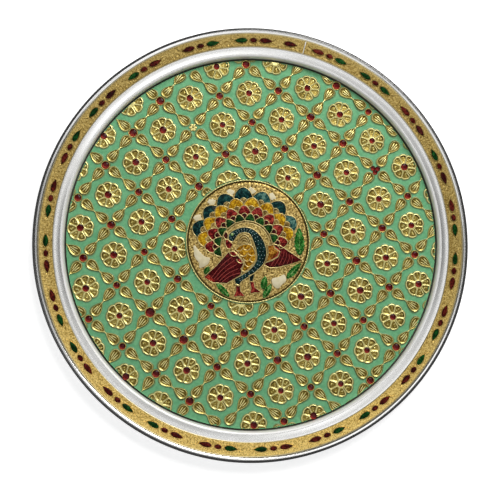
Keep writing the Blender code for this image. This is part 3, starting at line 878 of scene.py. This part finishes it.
def make_stones(ruby, gold):
    """Stones in the flowers and at the crossings, with the odd ones as in the photo."""
    picker = random.Random(5)
    stones = Skin()
    collars = Skin()
    for _, _, place in lattice_places(0, 0.0, 1.8):
        radius = FLOWER_STONE * picker.uniform(0.88, 1.12)
        inward = min(1.0, (ENAMEL_LIMIT - STONE_WALL_GAP) / math.hypot(*place))
        place = (place[0] * inward, place[1] * inward)
        stone = faceted(radius, *FLOWER_STONE_HEIGHTS)
        stones.add(stone, picker.uniform(0.0, 40.0), place)
    for column, row, place in lattice_places(1, 0.0):
        if (column, row) == ROSETTE_CROSSING:
            petal = loft(teardrop_rings(2.6, 1.9, 0.4, 12, ROSETTE_PROFILE))
            for k in range(6):
                collars.add(petal, 60.0 * k + 180.0, polar(1.5, 60.0 * k, place))
        elif (column, row) == TRIPLE_CROSSING:
            for angle in (20.0, 150.0, 265.0):
                stone = faceted(SMALL_STONE, *SMALL_STONE_HEIGHTS)
                stones.add(stone, angle, polar(1.75, angle, place))
        else:
            radius = LARGER_STONES.get((column, row), CROSS_STONE * picker.uniform(0.92, 1.18))
            stone = faceted(radius, *CROSS_STONE_HEIGHTS)
            stones.add(stone, picker.uniform(0.0, 40.0), place)
            collar = turned((
                (radius + 0.55, 1.9), (radius + 0.5, 2.45), (radius + 0.2, 2.75),
                (radius - 0.1, 2.65)), 20)
            collars.add(collar, 0.0, place)
    add_piece("ruby_stones", stones, [ruby], smooth=None)
    add_piece("stone_collars", collars, [gold])


# Medallion

def make_field(gold):
    """The stippled field with its sunk edge."""
    step = 0.5
    count = int(FIELD_RADIUS / step) + 2
    span = np.arange(-count, count + 1) * step
    points = []
    past = []
    for y in span:
        for x in span:
            reach = math.hypot(x, y)
            inward = FIELD_RADIUS / reach if reach > FIELD_RADIUS else 1.0
            x1, y1 = x * inward, y * inward
            stipple = 0.24 * grain(x1, y1, 0.75, 1.0) + 0.09 * grain(x1, y1, 2.1, 5.0)
            sunk = 0.35 * max(0.0, 1.0 - (FIELD_RADIUS - min(reach, FIELD_RADIUS)) / 0.6)
            points.append((x1, y1, DISC_TOP + stipple - sunk))
            past.append(reach > FIELD_RADIUS)
    width = len(span)
    faces = []
    for j in range(width - 1):
        for i in range(width - 1):
            a = j * width + i
            face = (a, a + 1, a + width + 1, a + width)
            if not all(past[corner] for corner in face):
                faces.append(face)
    skin = Skin()
    skin.add((points, faces), 0.0, MEDALLION_CENTRE)
    side = turned(((FIELD_RADIUS, ENAMEL_BASE), (FIELD_RADIUS, ENAMEL_TOP)), 160)
    skin.add(side, 0.0, MEDALLION_CENTRE)
    add_piece("medallion_field", skin, [gold], ["medallion_disc"])


def make_rope(gold):
    """The rope round the field, whose strands are waves along its crest."""
    turns = 640
    rings = []
    for radius, height in ROPE_PROFILE:
        ring = []
        for k in range(turns):
            twist = 0.16 * math.sin(2.0 * math.pi * k / 5.0 + radius * 4.0)
            lift = twist if height > 3.0 else 0.0
            ring.append((*polar(radius, 360.0 * k / turns), height + lift))
        rings.append(np.array(ring))
    rope = Skin()
    rope.add(loft(rings, closed=True), 0.0, MEDALLION_CENTRE)
    add_piece("medallion_rim", rope, [gold], ["medallion_rope"])


def fan_arch(middle, base, rise, shares):
    """Points of one scale's arch. A share of 1 is its right corner, 0 its tip, -1 its left."""
    points = []
    for share in shares:
        swell = (1.0 - abs(share) ** 1.6) ** 0.75
        points.append(polar(base + rise * swell, middle - share * FAN_PITCH / 2.0, FAN_CENTRE))
    return points


def fan_scale(middle, base, rise, inner_rise):
    """One scale: its own arch above, and the two arches of the row inside below."""
    shares = (1.0, 0.96, 0.85, 0.65, 0.4, 0.15, -0.15, -0.4, -0.65, -0.85, -0.96, -1.0)
    outline = fan_arch(middle, base, rise, shares)
    if inner_rise:
        inner = base - inner_rise
        right = middle + FAN_PITCH / 2.0
        left = middle - FAN_PITCH / 2.0
        outline += fan_arch(right, inner, inner_rise, (0.3, 0.6, 0.8, 0.93, 1.0))
        outline += fan_arch(left, inner, inner_rise, (-0.93, -0.8, -0.6, -0.3))
    return outline


def half_moon(middle, base, inner_rise, size, depth):
    """The small eye at the foot of a scale, with an arc above and a point below."""
    top = polar(base - inner_rise * depth, middle, FAN_CENTRE)
    outline = [polar(size, middle - 90.0 + 22.5 * k, top) for k in range(9)]
    return outline + [polar(base - inner_rise * 0.86, middle, FAN_CENTRE)]


def add_fill(skin, outline, high=FILL_TOP, gap=WIRE, surface=0):
    """A cushion of enamel that fills a cell of the picture between its wires."""
    cell = np.asarray(outline, float)
    if signed_area(cell) < 0.0:
        cell = cell[::-1]
    rings = [
        at_height(inset(cell, gap), FILL_BASE - 0.4), at_height(inset(cell, gap), high - 0.24),
        at_height(inset(cell, gap + 0.12), high - 0.08), at_height(inset(cell, gap + 0.32), high),
    ]
    skin.add(loft(rings), 0.0, MEDALLION_CENTRE, surface)


def add_wire(skin, outline, closed=True, height=FILL_TOP - 0.02, radius=WIRE):
    skin.add(tube(outline, radius, height, closed), 0.0, MEDALLION_CENTRE)


def add_cell(skin, wires, outline):
    add_fill(skin, outline)
    add_wire(wires, outline)


# Rows of the tail from the inside out: colour, first place from the middle, count and rise
TAIL_ROWS = (
    ("green", -4.0, 9, 4.8), ("ruby", -4.5, 9, 5.4), ("amber", -4.0, 8, 5.1),
    ("teal", -3.5, 7, 5.6),
)
# Size of each row's eyes and how deep they sit in their scales
EYES = {"ruby": (2.0, 0.40), "amber": (2.1, 0.45), "teal": (2.2, 0.52)}
TEAL_RISES = (0.85, 1.0, 1.0, 1.22, 1.0, 0.85, 0.95)
PALE_TEAL = (0, 2)


def make_tail(enamels, wires, moons):
    """Four rows of scales, with the eyes at their feet and the wires round them."""
    base = FAN_RING
    inner_rise = 0.0
    for colour, first, count, rise in TAIL_ROWS:
        scales = Skin()
        for k in range(count):
            middle = FAN_MIDDLE_ANGLE + FAN_PITCH * (first + k)
            share = TEAL_RISES[k] if colour == "teal" else 1.0
            surface = 1 if colour == "teal" and k in PALE_TEAL else 0
            outline = fan_scale(middle, base, rise * share, inner_rise)
            add_fill(scales, outline, surface=surface)
            add_wire(wires, outline)
            if colour in EYES:
                eye = half_moon(middle, base, inner_rise, *EYES[colour])
                add_fill(moons[colour], eye, FILL_TOP + 0.12, 0.1)
                add_wire(wires, eye[:9], False, FILL_TOP + 0.12, 0.2)
        nodes = [f"tail_{colour}_{k + 1}" for k in range(count)]
        surfaces = [enamels[colour], enamels["light_teal"]]
        add_piece(f"tail_scales_{colour}", scales, surfaces, nodes)
        base += rise
        inner_rise = rise
    for radius, target in ((FAN_RING - 0.7, moons["amber"]), (FAN_RING - 1.6, wires)):
        arc = [polar(radius, -8.0 + 3.0 * k, FAN_CENTRE) for k in range(61)]
        add_wire(target, arc, False, DISC_TOP + 0.2)


# Outlines of the picture, from the medallion's centre
NECK_BACK = (
    (-12.5, 0.2), (-12.6, 4.2), (-8.8, 7.4), (-2.7, 9.1), (4.0, 7.3), (9.5, 1.3),
    (11.9, -6.6), (10.3, -14.1), (4.2, -20.4), (-3.9, -25.9), (-5.3, -28.4),
)
NECK_THROAT = (
    (-8.8, -24.5), (-3.7, -21.6), (1.6, -17.8), (5.3, -12.5), (5.2, -6.8), (3.4, -0.6),
    (0.9, 4.4), (-2.6, 5.4), (-6.3, 4.3), (-9.6, -0.3), (-12.5, 0.2),
)
NECK_FOOT = (-8.4, -28.0)
THIGH = ((0.2, -22.4), (4.2, -20.9), (3.6, -23.8), (2.9, -26.0), (1.0, -26.0), (0.9, -24.0))
EYE_PLACE = (-10.4, 4.3)
ALMOND = (
    (-6.6, -2.7), (-6.4, 0.6), (-5.0, 3.2), (-2.8, 4.3), (-0.4, 3.2), (1.3, 0.2), (1.8, -2.6),
)
BREAST = (
    (-9.2, -6.2), (-5.2, -3.0), (-0.6, -1.9), (2.8, -3.6), (4.7, -8.0), (4.7, -12.5),
    (1.2, -17.4), (-4.0, -21.0),
)
BREAST_EDGE = [(-3.6, -17.6), (-2.2, -14.2), (-5.2, -10.2)]
BREAST_SCALES = (
    (-6.2, -5.2), (-0.9, -4.6), (-3.2, -8.6), (2.3, -8.2), (-0.9, -11.6), (3.1, -12.2),
    (0.3, -15.2), (-2.3, -18.3),
)
NEAR_WING = (
    (-12.9, -7.2), (-20.8, -16.2), (-28.6, -23.4), (-22.8, -27.0), (-13.8, -27.5),
    (-9.4, -24.8), (-4.6, -22.0), (-4.2, -17.6), (-2.8, -14.2), (-5.8, -10.4), (-9.4, -6.4),
)
WING_TIP = ((-27.9, -23.6), (-25.5, -21.4), (-21.0, -25.8), (-22.0, -26.9), (-26.3, -25.2))
FAR_COVERTS = (
    (12.5, -3.0), (13.0, -8.4), (11.6, -13.2), (15.3, -11.9), (19.0, -9.9), (20.4, -6.8),
    (17.0, -4.5), (16.4, -2.1),
)
COVERT_BAND = (
    (16.4, -3.3), (18.3, -5.4), (19.0, -7.2), (17.4, -9.2), (14.2, -11.4), (15.5, -12.0),
    (19.2, -9.9), (20.7, -7.1), (20.0, -5.0), (17.6, -3.2),
)
FAR_FLIGHT = (
    (16.6, -2.1), (17.3, -4.4), (20.7, -6.7), (19.4, -10.1), (15.6, -12.3), (11.4, -13.8),
    (10.4, -15.4), (14.0, -17.2), (19.4, -16.9), (25.9, -15.2), (35.2, -12.2),
    (23.5, -4.4), (20.4, -2.5),
)
LEG_LEFT = (
    (-8.0, -28.9), (-7.8, -32.2), (-9.6, -36.2), (-5.6, -35.6), (-1.6, -35.8), (-4.8, -32.2),
    (-5.1, -28.9),
)
LEG_RIGHT = (
    (0.9, -26.2), (1.9, -30.4), (1.3, -33.9), (4.6, -33.3), (8.4, -32.9), (4.4, -29.8),
    (3.7, -26.1),
)
SHOULDER = (
    (-14.9, 0.8), (-13.0, 0.8), (-9.8, -2.2), (-11.5, -5.2), (-13.9, -4.6), (-14.9, -1.9),
)
NAPE = ((-16.2, 3.4), (-14.8, 6.4), (-13.0, 3.8), (-14.2, 1.0))
CREAM_LEFT = (
    (-34.8, -2.9), (-35.1, -7.0), (-34.2, -11.0), (-31.7, -14.3), (-31.2, -17.6),
    (-26.2, -15.4), (-24.6, -11.2), (-28.0, -10.1), (-31.2, -7.0),
)
CREAM_RIGHT = (
    (15.3, -24.4), (16.2, -28.6), (19.4, -30.6), (22.2, -27.8), (24.6, -25.6),
    (23.6, -21.5), (19.6, -23.1),
)
# Leaves beside the bird: stalk, tip and width
SPRIGS = (
    ((33.6, -9.4), (33.0, 9.2), 7.6), ((24.8, -24.2), (34.4, -13.8), 5.2),
    ((9.6, -31.4), (11.2, -22.4), 5.2), ((9.8, -36.8), (15.2, -27.4), 4.8),
    ((-12.0, -36.2), (-21.2, -26.2), 4.4), ((-28.0, -21.6), (-25.0, -16.4), 4.2),
)


def make_neck(enamels, wires):
    """Head, neck and body in one sweep, with rows of light dots and the eye."""
    neck = Skin()
    outline = smooth_run(NECK_BACK, 5) + [NECK_FOOT] + smooth_run(NECK_THROAT, 5)[:-1]
    add_cell(neck, wires, outline)
    add_cell(neck, wires, THIGH)
    dots = Skin()
    backs = np.array(smooth_run(NECK_BACK, 6))
    throats = np.array(smooth_run(NECK_THROAT, 6)[::-1])
    dot = turned(((0.29, 3.5), (0.20, FILL_TOP + 0.10)), 6)
    for k in range(6, len(backs) - 3, 2):
        for share in ((0.2, 0.5, 0.8) if k % 4 else (0.35, 0.65)):
            place = backs[k] * (1.0 - share) + throats[k] * share
            dots.add(dot, 0.0, place + MEDALLION_CENTRE)
    eye = [polar(1.1, 45.0 * k, EYE_PLACE) for k in range(8)]
    pupil = [polar(0.4, 60.0 * k, EYE_PLACE) for k in range(6)]
    add_fill(neck, eye, FILL_TOP + 0.12, 0.0, 2)
    add_fill(dots, pupil, FILL_TOP + 0.16, 0.0)
    almond = smooth_run(ALMOND, 4)
    add_fill(neck, almond, FILL_TOP - 0.3, 0.2, 1)
    for share in (0.3, 0.55, 0.8):
        arch = [((x + 2.5) * share - 2.5, (y + 2.6) * share - 2.6) for x, y in almond]
        add_wire(wires, arch, False, FILL_TOP - 0.32, 0.17)
    add_wire(wires, almond, False, FILL_TOP - 0.2, 0.2)
    surfaces = [enamels["neck"], enamels["brown"], enamels["vein"]]
    add_piece("peacock_sweep", neck, surfaces, ["peacock_neck"])
    add_piece("peacock_dots", dots, [enamels["pale_blue"]])


def hanging_arc(x, y, width, depth, trim, count):
    """An arc that hangs below its centre, cut short by an angle at both ends."""
    turns = np.linspace(trim, math.pi - trim, count)
    return [(x + width * math.cos(a), y - depth * math.sin(a)) for a in turns]


def make_breast(enamels, wires):
    breast = Skin()
    add_cell(breast, wires, smooth_run(BREAST, 4) + BREAST_EDGE)
    for x, y in BREAST_SCALES:
        arch = hanging_arc(x, y + 1.0, 2.5, 2.3, 0.15, 9)
        add_wire(wires, arch, False, FILL_TOP + 0.02, 0.22)
    for x, y, radius in ((-9.2, -7.0, 2.9), (-4.7, -11.6, 2.7)):
        scale = hanging_arc(x, y, radius, radius, 0.0, 10)
        add_fill(breast, scale, FILL_TOP + 0.1, 0.1, 1)
        add_wire(wires, scale, False, FILL_TOP + 0.06, 0.22)
    surfaces = [enamels["breast"], enamels["ruby"]]
    add_piece("breast_enamel", breast, surfaces, ["peacock_breast"])


def add_feathers(skin, roots, tips, shares, bend, steps, height):
    """Lines between feathers, bent at their middle, at shares of the way along the roots and
    along the tips."""
    roots, tips = np.array(roots), np.array(tips)
    for share in shares:
        start = roots[0] + (roots[1] - roots[0]) * share
        end = tips[0] + (tips[1] - tips[0]) * share
        path = smooth_run([start, (start + end) / 2.0 + bend, end], steps)
        add_wire(skin, path, False, height, 0.18)


def make_wings(enamels, wires, light_wires):
    """Both wings, the far one a little higher than the rest."""
    wing = Skin()
    add_cell(wing, wires, NEAR_WING)
    add_feathers(
        light_wires, ((-10.8, -8.6), (-4.4, -21.8)), ((-24.8, -24.0), (-15.8, -26.6)),
        (0.1, 0.3, 0.5, 0.7, 0.9), (-0.4, 0.9), 5, FILL_TOP - 0.02)
    add_fill(wing, WING_TIP, FILL_TOP + 0.05, 0.1, 1)
    surfaces = [enamels["wing"], enamels["bright_ruby"]]
    add_piece("near_wing", wing, surfaces, ["near_wing_flight"])

    high = FILL_TOP + FAR_LIFT
    coverts = Skin()
    flight = Skin()
    for skin, outline in ((coverts, FAR_COVERTS), (flight, FAR_FLIGHT)):
        add_fill(skin, outline, high)
        add_wire(wires, outline, True, high)
    add_fill(coverts, COVERT_BAND, high + 0.06, 0.05, 1)
    surfaces = [enamels["orange"], enamels["bright_ruby"]]
    add_piece("far_wing_amber", coverts, surfaces, ["far_wing_coverts"])
    add_feathers(
        light_wires, ((20.2, -5.2), (29.6, -9.6)), ((14.4, -16.2), (30.4, -14.0)),
        [k / 6.0 for k in range(6)], (0.8, 0.3), 4, high - 0.02)
    add_piece("far_wing_ruby", flight, [enamels["wing"]], ["far_wing_flight"])


def make_legs(enamels, wires):
    legs = Skin()
    for outline in (LEG_LEFT, LEG_RIGHT, SHOULDER):
        add_cell(legs, wires, outline)
    add_piece("peacock_legs", legs, [enamels["ruby"]], ["leg_left", "leg_right"])
    nape = Skin()
    add_cell(nape, wires, smooth_run(NAPE, 4, True))
    add_piece("nape_enamel", nape, [enamels["dark_ruby"]])


def make_sprigs(enamels, wires):
    """Serrated almond leaves with a bright vein."""
    leaves = Skin()
    veins = Skin()
    for start, end, width in SPRIGS:
        start = np.array(start)
        run = np.array(end) - start
        side = np.array((-run[1], run[0])) / np.linalg.norm(run)
        right = []
        left = []
        for k in range(1, 14):
            share = k / 14.0
            half = width / 2.0 * math.sin(math.pi * share ** 0.85) ** 0.7
            half *= 1.0 if k % 2 else 0.78
            right.append(start + run * share - side * half)
            left.append(start + run * share + side * half)
        outline = [start] + right + [start + run] + left[::-1]
        add_fill(leaves, outline, FILL_TOP, 0.1)
        add_wire(wires, outline, True, DISC_TOP + 0.12, 0.2)
        zigzag = [start + run * (0.08 * k + 0.1) + side * 0.3 * (-1) ** k for k in range(11)]
        add_wire(veins, zigzag, False, FILL_TOP - 0.02, 0.16)
    nodes = [f"sprig_leaf_{k + 1}" for k in range(len(SPRIGS))]
    add_piece("sprig_leaves", leaves, [enamels["leaf"]], nodes)
    add_piece("sprig_veins", veins, [enamels["vein"]])


def make_cream(cream):
    """Pale fills between the outer scales and beside the tail."""
    fills = Skin()
    reach = FAN_RING + sum(row[3] for row in TAIL_ROWS[:3]) + 4.3
    for k in range(5):
        spot = polar(reach, FAN_MIDDLE_ANGLE + FAN_PITCH * (k - 2) + 2.0, FAN_CENTRE)
        outline = []
        for j in range(14):
            wobble = 2.5 + 0.5 * math.sin(3.0 * j + k * 1.7) + 0.3 * math.sin(5.0 * j + k)
            outline.append(polar(wobble, 360.0 * j / 14.0, spot))
        add_fill(fills, outline, FILL_TOP - 0.3, 0.0)
    for outline in (CREAM_LEFT, CREAM_RIGHT):
        add_fill(fills, smooth_run(outline, 4, True), FILL_TOP - 0.2, 0.0)
    nodes = [f"cream_dot_{k + 1}" for k in range(5)] + ["cream_patch_left", "cream_patch_right"]
    add_piece("cream_fills", fills, [cream], nodes)


def make_medallion(pressed_gold, enamels):
    """The field and its rope, the picture's fills, and the wires between them."""
    make_field(gold_material("stippled_gold"))
    make_rope(pressed_gold)
    wires = Skin()
    light_wires = Skin()
    moons = {"ruby": Skin(), "amber": Skin(), "teal": Skin()}
    make_tail(enamels, wires, moons)
    add_piece("eyes_ruby", moons["ruby"], [enamels["dark_ruby"]])
    add_piece("eyes_amber", moons["amber"], [enamels["brown"]])
    add_piece("eyes_teal", moons["teal"], [enamels["brown"]])
    make_cream(enamels["cream"])
    make_neck(enamels, wires)
    make_breast(enamels, wires)
    make_wings(enamels, wires, light_wires)
    make_legs(enamels, wires)
    make_sprigs(enamels, wires)
    add_piece("cell_wires", wires, [gold_material("wire_gold")])
    add_piece("feather_lines", light_wires, [gold_material("feather_line")])


# Strip on the flange

def make_band(gold):
    """The stippled band, open at its seam, with a raised line along both edges."""
    rows = 18
    turns = 1700
    sections = []
    for k in range(turns + 1):
        angle = STRIP_SEAM_ANGLE + STRIP_HALF_SEAM + (360.0 - 2.0 * STRIP_HALF_SEAM) * k / turns
        section = [(*polar(STRIP_INNER, angle), 0.02)]
        for r in range(rows):
            radius = STRIP_INNER + (STRIP_OUTER - STRIP_INNER) * (r / (rows - 1))
            x, y = polar(radius, angle)
            from_edge = min(radius - STRIP_INNER, STRIP_OUTER - radius)
            line = 0.10 * math.exp(-((from_edge - 1.0) / 0.35) ** 2)
            stipple = 0.19 * grain(x, y, 0.9, 2.0) + 0.10 * grain(x, y, 2.0, 6.0)
            edge = 0.2 if from_edge < 0.1 else 0.0
            section.append((x, y, 0.48 + line + stipple * min(1.0, from_edge / 0.8) - edge))
        section.append((*polar(STRIP_OUTER, angle), 0.02))
        sections.append(section)
    skin = Skin()
    skin.add(on_flange(loft(sections)))
    add_piece("flange_band", skin, [gold], ["rim_strip"])


# Colours of the drops beside each dot, clockwise: red, green and dark
RIM_COLOURS = (
    "RG", "GG", "RD", "GD", "RG", "GR", "RG", "GR", "RG", "GR", "RG", "GR", "RG",
    "GR", "RG", "GR", "RG", "GR", "RG", "GD", "GR",
)
SHORT_RUN_COLOURS = ("RG", "GR")


def make_drops(enamels, gold):
    """Drops and dots of the strip, each in a raised collar, with a slash at each drop's point."""
    stones = {"R": Skin(), "G": Skin(), "D": Skin()}
    lines = Skin()

    def add_seat(skin, length, width, sharpness, angle, way):
        for profile, target in ((DOME_PROFILE, skin), (COLLAR_PROFILE, lines)):
            points, faces = loft(
                teardrop_rings(length, width, sharpness, DROP_STEPS, profile, 1.25))
            points = turn_and_move(points, angle - 90.0 * way, polar(DROP_RADIUS, angle))
            target.add(on_flange((points, faces)))

    groups = [(FIRST_GROUP_ANGLE - GROUP_PITCH * k, pair) for k, pair in enumerate(RIM_COLOURS)]
    groups += [(SHORT_RUN_ANGLE - GROUP_PITCH * k, p) for k, p in enumerate(SHORT_RUN_COLOURS)]
    for angle, (first, last) in groups:
        add_seat(stones[first], DROP_LENGTH, DROP_WIDTH, DROP_POINT, angle + DROP_OFFSET, -1)
        add_seat(stones["R"], DOT_LENGTH, DOT_WIDTH, 0.0, angle, 1)
        add_seat(stones[last], DROP_LENGTH, DROP_WIDTH, DROP_POINT, angle - DROP_OFFSET, 1)
        for way in (1.0, -1.0):
            drop = angle + DROP_OFFSET * way
            start = polar(DROP_RADIUS + 0.5, drop + 1.75 * way)
            end = polar(DROP_RADIUS + 2.2, drop + 3.0 * way)
            lines.add(on_flange(ridge(start, end, 0.75, 0.3, 0.95)))
    add_seat(stones["R"], DROP_LENGTH, DROP_WIDTH, DROP_POINT, SEAM_DROP_ANGLE, 1)
    add_piece("drops_red", stones["R"], [enamels["rim_red"]])
    add_piece("drops_green", stones["G"], [enamels["rim_green"]])
    add_piece("drops_dark", stones["D"], [enamels["dark_ruby"]])
    add_piece("drop_collars", lines, [gold])


def make_strip_edges(gold):
    """A rolled line along both edges of the strip, its dull grey gold a painted shade along the
    strip's edges.
    """
    edges = Skin()
    for radius in (STRIP_INNER + 0.25, STRIP_OUTER - 0.25):
        path = [polar(radius, 1.2 * k) for k in range(300)]
        edges.add(on_flange(tube(path, 0.32, 0.34, True)))
    add_piece("strip_edges", edges, [gold])


# Stage

def studio_rays(tree):
    """1 for the rays that show the white studio: the camera's, and those that metal and glass
    send on."""
    seen = node(tree, "LightPath", {}).outputs
    bounced = maths(tree, "MAXIMUM", seen["Is Glossy Ray"], seen["Is Transmission Ray"])
    return maths(tree, "MAXIMUM", seen["Is Camera Ray"], bounced)


def stage_object(name, points, faces, material):
    mesh = bpy.data.meshes.new(name)
    mesh.from_pydata(points, [], faces)
    mesh.materials.append(material)
    made = bpy.data.objects.new(name, mesh)
    bpy.context.scene.collection.objects.link(made)
    return made


def make_floor():
    """A pale floor that shows as white where no shadow falls on it."""
    made, tree, shader = new_material("stage_floor")
    tree.nodes.remove(shader)
    paint = node(tree, "BsdfDiffuse", {"Color": (0.86, 0.86, 0.86, 1.0)})
    lift = maths(tree, "MULTIPLY", studio_rays(tree), FLOOR_LIFT)
    glow = node(tree, "Emission", {"Color": (1.0, 1.0, 1.0, 1.0), "Strength": lift})
    both = node(tree, "AddShader", {0: paint.outputs[0], 1: glow.outputs[0]})
    tree.links.new(both.outputs[0], tree.nodes["Material Output"].inputs["Surface"])
    square = ((-1, -1), (1, -1), (1, 1), (-1, 1))
    corners = [(FLOOR_SIZE * x, FLOOR_SIZE * y, 0.0) for x, y in square]
    floor = stage_object("stage_floor", corners, [(0, 1, 2, 3)], made)
    floor.location.z = -0.0002


def make_world():
    """White for the camera and in reflections, and a softer light on everything else."""
    world = bpy.data.worlds.new("studio")
    bpy.context.scene.world = world
    world.use_nodes = True
    tree = world.node_tree
    soft = tree.nodes["Background"]
    set_inputs(tree, soft, {"Color": (0.98, 0.99, 1.0, 1.0), "Strength": 0.24})
    white = node(tree, "Background", {"Color": (1.0, 1.0, 1.0, 1.0), "Strength": 1.0})
    seen = node(tree, "MixShader", {
        0: studio_rays(tree), 1: soft.outputs[0], 2: white.outputs[0]})
    tree.links.new(seen.outputs[0], tree.nodes["World Output"].inputs["Surface"])


def card_material(name, shades):
    """A card's shade by its direction from its own middle, from -180 to 180 degrees."""
    made, tree, shader = new_material(name)
    tree.nodes.remove(shader)
    glow = node(tree, "Emission", {"Color": by_direction(tree, shades)})
    tree.links.new(glow.outputs[0], tree.nodes["Material Output"].inputs["Surface"])
    made.cycles.emission_sampling = "NONE"
    return made


def add_card(name, rings, shades, first=-180.0, last=180.0, centre=(0.0, 0.0)):
    """A ring-shaped studio card that only reflections see, between two rings of (radius,
    height), from a first to a last direction."""
    steps = 60
    points = []
    for radius, height in rings:
        for k in range(steps + 1):
            points.append((*polar(radius, first + (last - first) * k / steps), height))
    row = steps + 1
    faces = [(k, k + 1, row + k + 1, row + k) for k in range(steps)]
    card = stage_object(name, points, faces, card_material(name, shades))
    card.location = (*centre, 0.0)
    for ray in ("camera", "diffuse", "transmission", "volume_scatter", "shadow"):
        setattr(card, "visible_" + ray, False)


def make_cards():
    """A ceiling whose shade turns with the flange, a dark collar far round the plate, and a
    dark cuff close to it that its bead mirrors."""
    add_card(
        "stage_ceiling", ((0.04, 1.0), (0.50, 1.0)), CEILING_SHADES, centre=(0.06, 0.08))
    dark = ((-180.0, 0.08), (180.0, 0.08))
    add_card("stage_collar", ((1.5, 0.05), (1.5, 1.75)), dark, -30.0, 235.0)
    add_card("stage_low_collar", ((1.5, 0.05), (1.5, 0.45)), dark, 235.0, 330.0)
    darker = ((-180.0, 0.05), (180.0, 0.05))
    add_card("stage_cuff", ((0.1425, 0.0), (0.1425, 0.032)), darker)


def add_lamp(name, place, size, power, colour):
    """A soft square lamp aimed at the middle of the plate."""
    data = bpy.data.lights.new(name, "AREA")
    data.size = size
    data.energy = power
    data.color = colour
    lamp = bpy.data.objects.new(name, data)
    lamp.location = place
    lamp.rotation_euler = (-Vector(place)).to_track_quat("-Z", "Y").to_euler()
    bpy.context.scene.collection.objects.link(lamp)


def make_camera():
    data = bpy.data.cameras.new("camera")
    data.lens = CAMERA_LENS
    data.sensor_width = 36.0
    data.clip_start = 0.01
    camera = bpy.data.objects.new("camera", data)
    azimuth = math.radians(CAMERA_AZIMUTH)
    elevation = math.radians(CAMERA_ELEVATION)
    back = Vector((
        math.sin(azimuth) * math.cos(elevation), -math.cos(azimuth) * math.cos(elevation),
        math.sin(elevation)))
    roll = math.radians(CAMERA_ROLL)
    right = Vector((-math.sin(roll), math.cos(roll), 0.0)).cross(back).normalized()
    turn = Matrix((right, back.cross(right), back)).transposed()
    camera.matrix_world = turn.to_4x4()
    camera.location = Vector(CAMERA_TARGET) + back * CAMERA_DISTANCE
    bpy.context.scene.collection.objects.link(camera)
    bpy.context.scene.camera = camera


def main():
    pressed_gold = gold_material("pressed_gold")
    strip_gold = gold_material("strip_gold", STRIP_PAINTED_LIGHT)
    enamels = {name: enamel_material(f"{name}_enamel", *row) for name, row in ENAMELS.items()}
    make_steel(steel_material())
    make_relief(pressed_gold, enamels["mint"], mint_edge_material())
    make_stones(stone_material(), pressed_gold)
    make_medallion(pressed_gold, enamels)
    make_band(strip_gold)
    make_drops(enamels, strip_gold)
    make_strip_edges(gold_material("strip_edge_gold"))

    make_floor()
    make_world()
    make_cards()
    add_lamp("key", (0.31, 0.63, 0.58), size=0.52, power=7.6, colour=(1.0, 0.99, 0.97))
    add_lamp("fill", (-0.9, -0.35, 0.7), size=0.8, power=1.6, colour=(0.96, 0.98, 1.0))
    make_camera()
    bpy.context.scene.view_settings.view_transform = "Standard"


main()
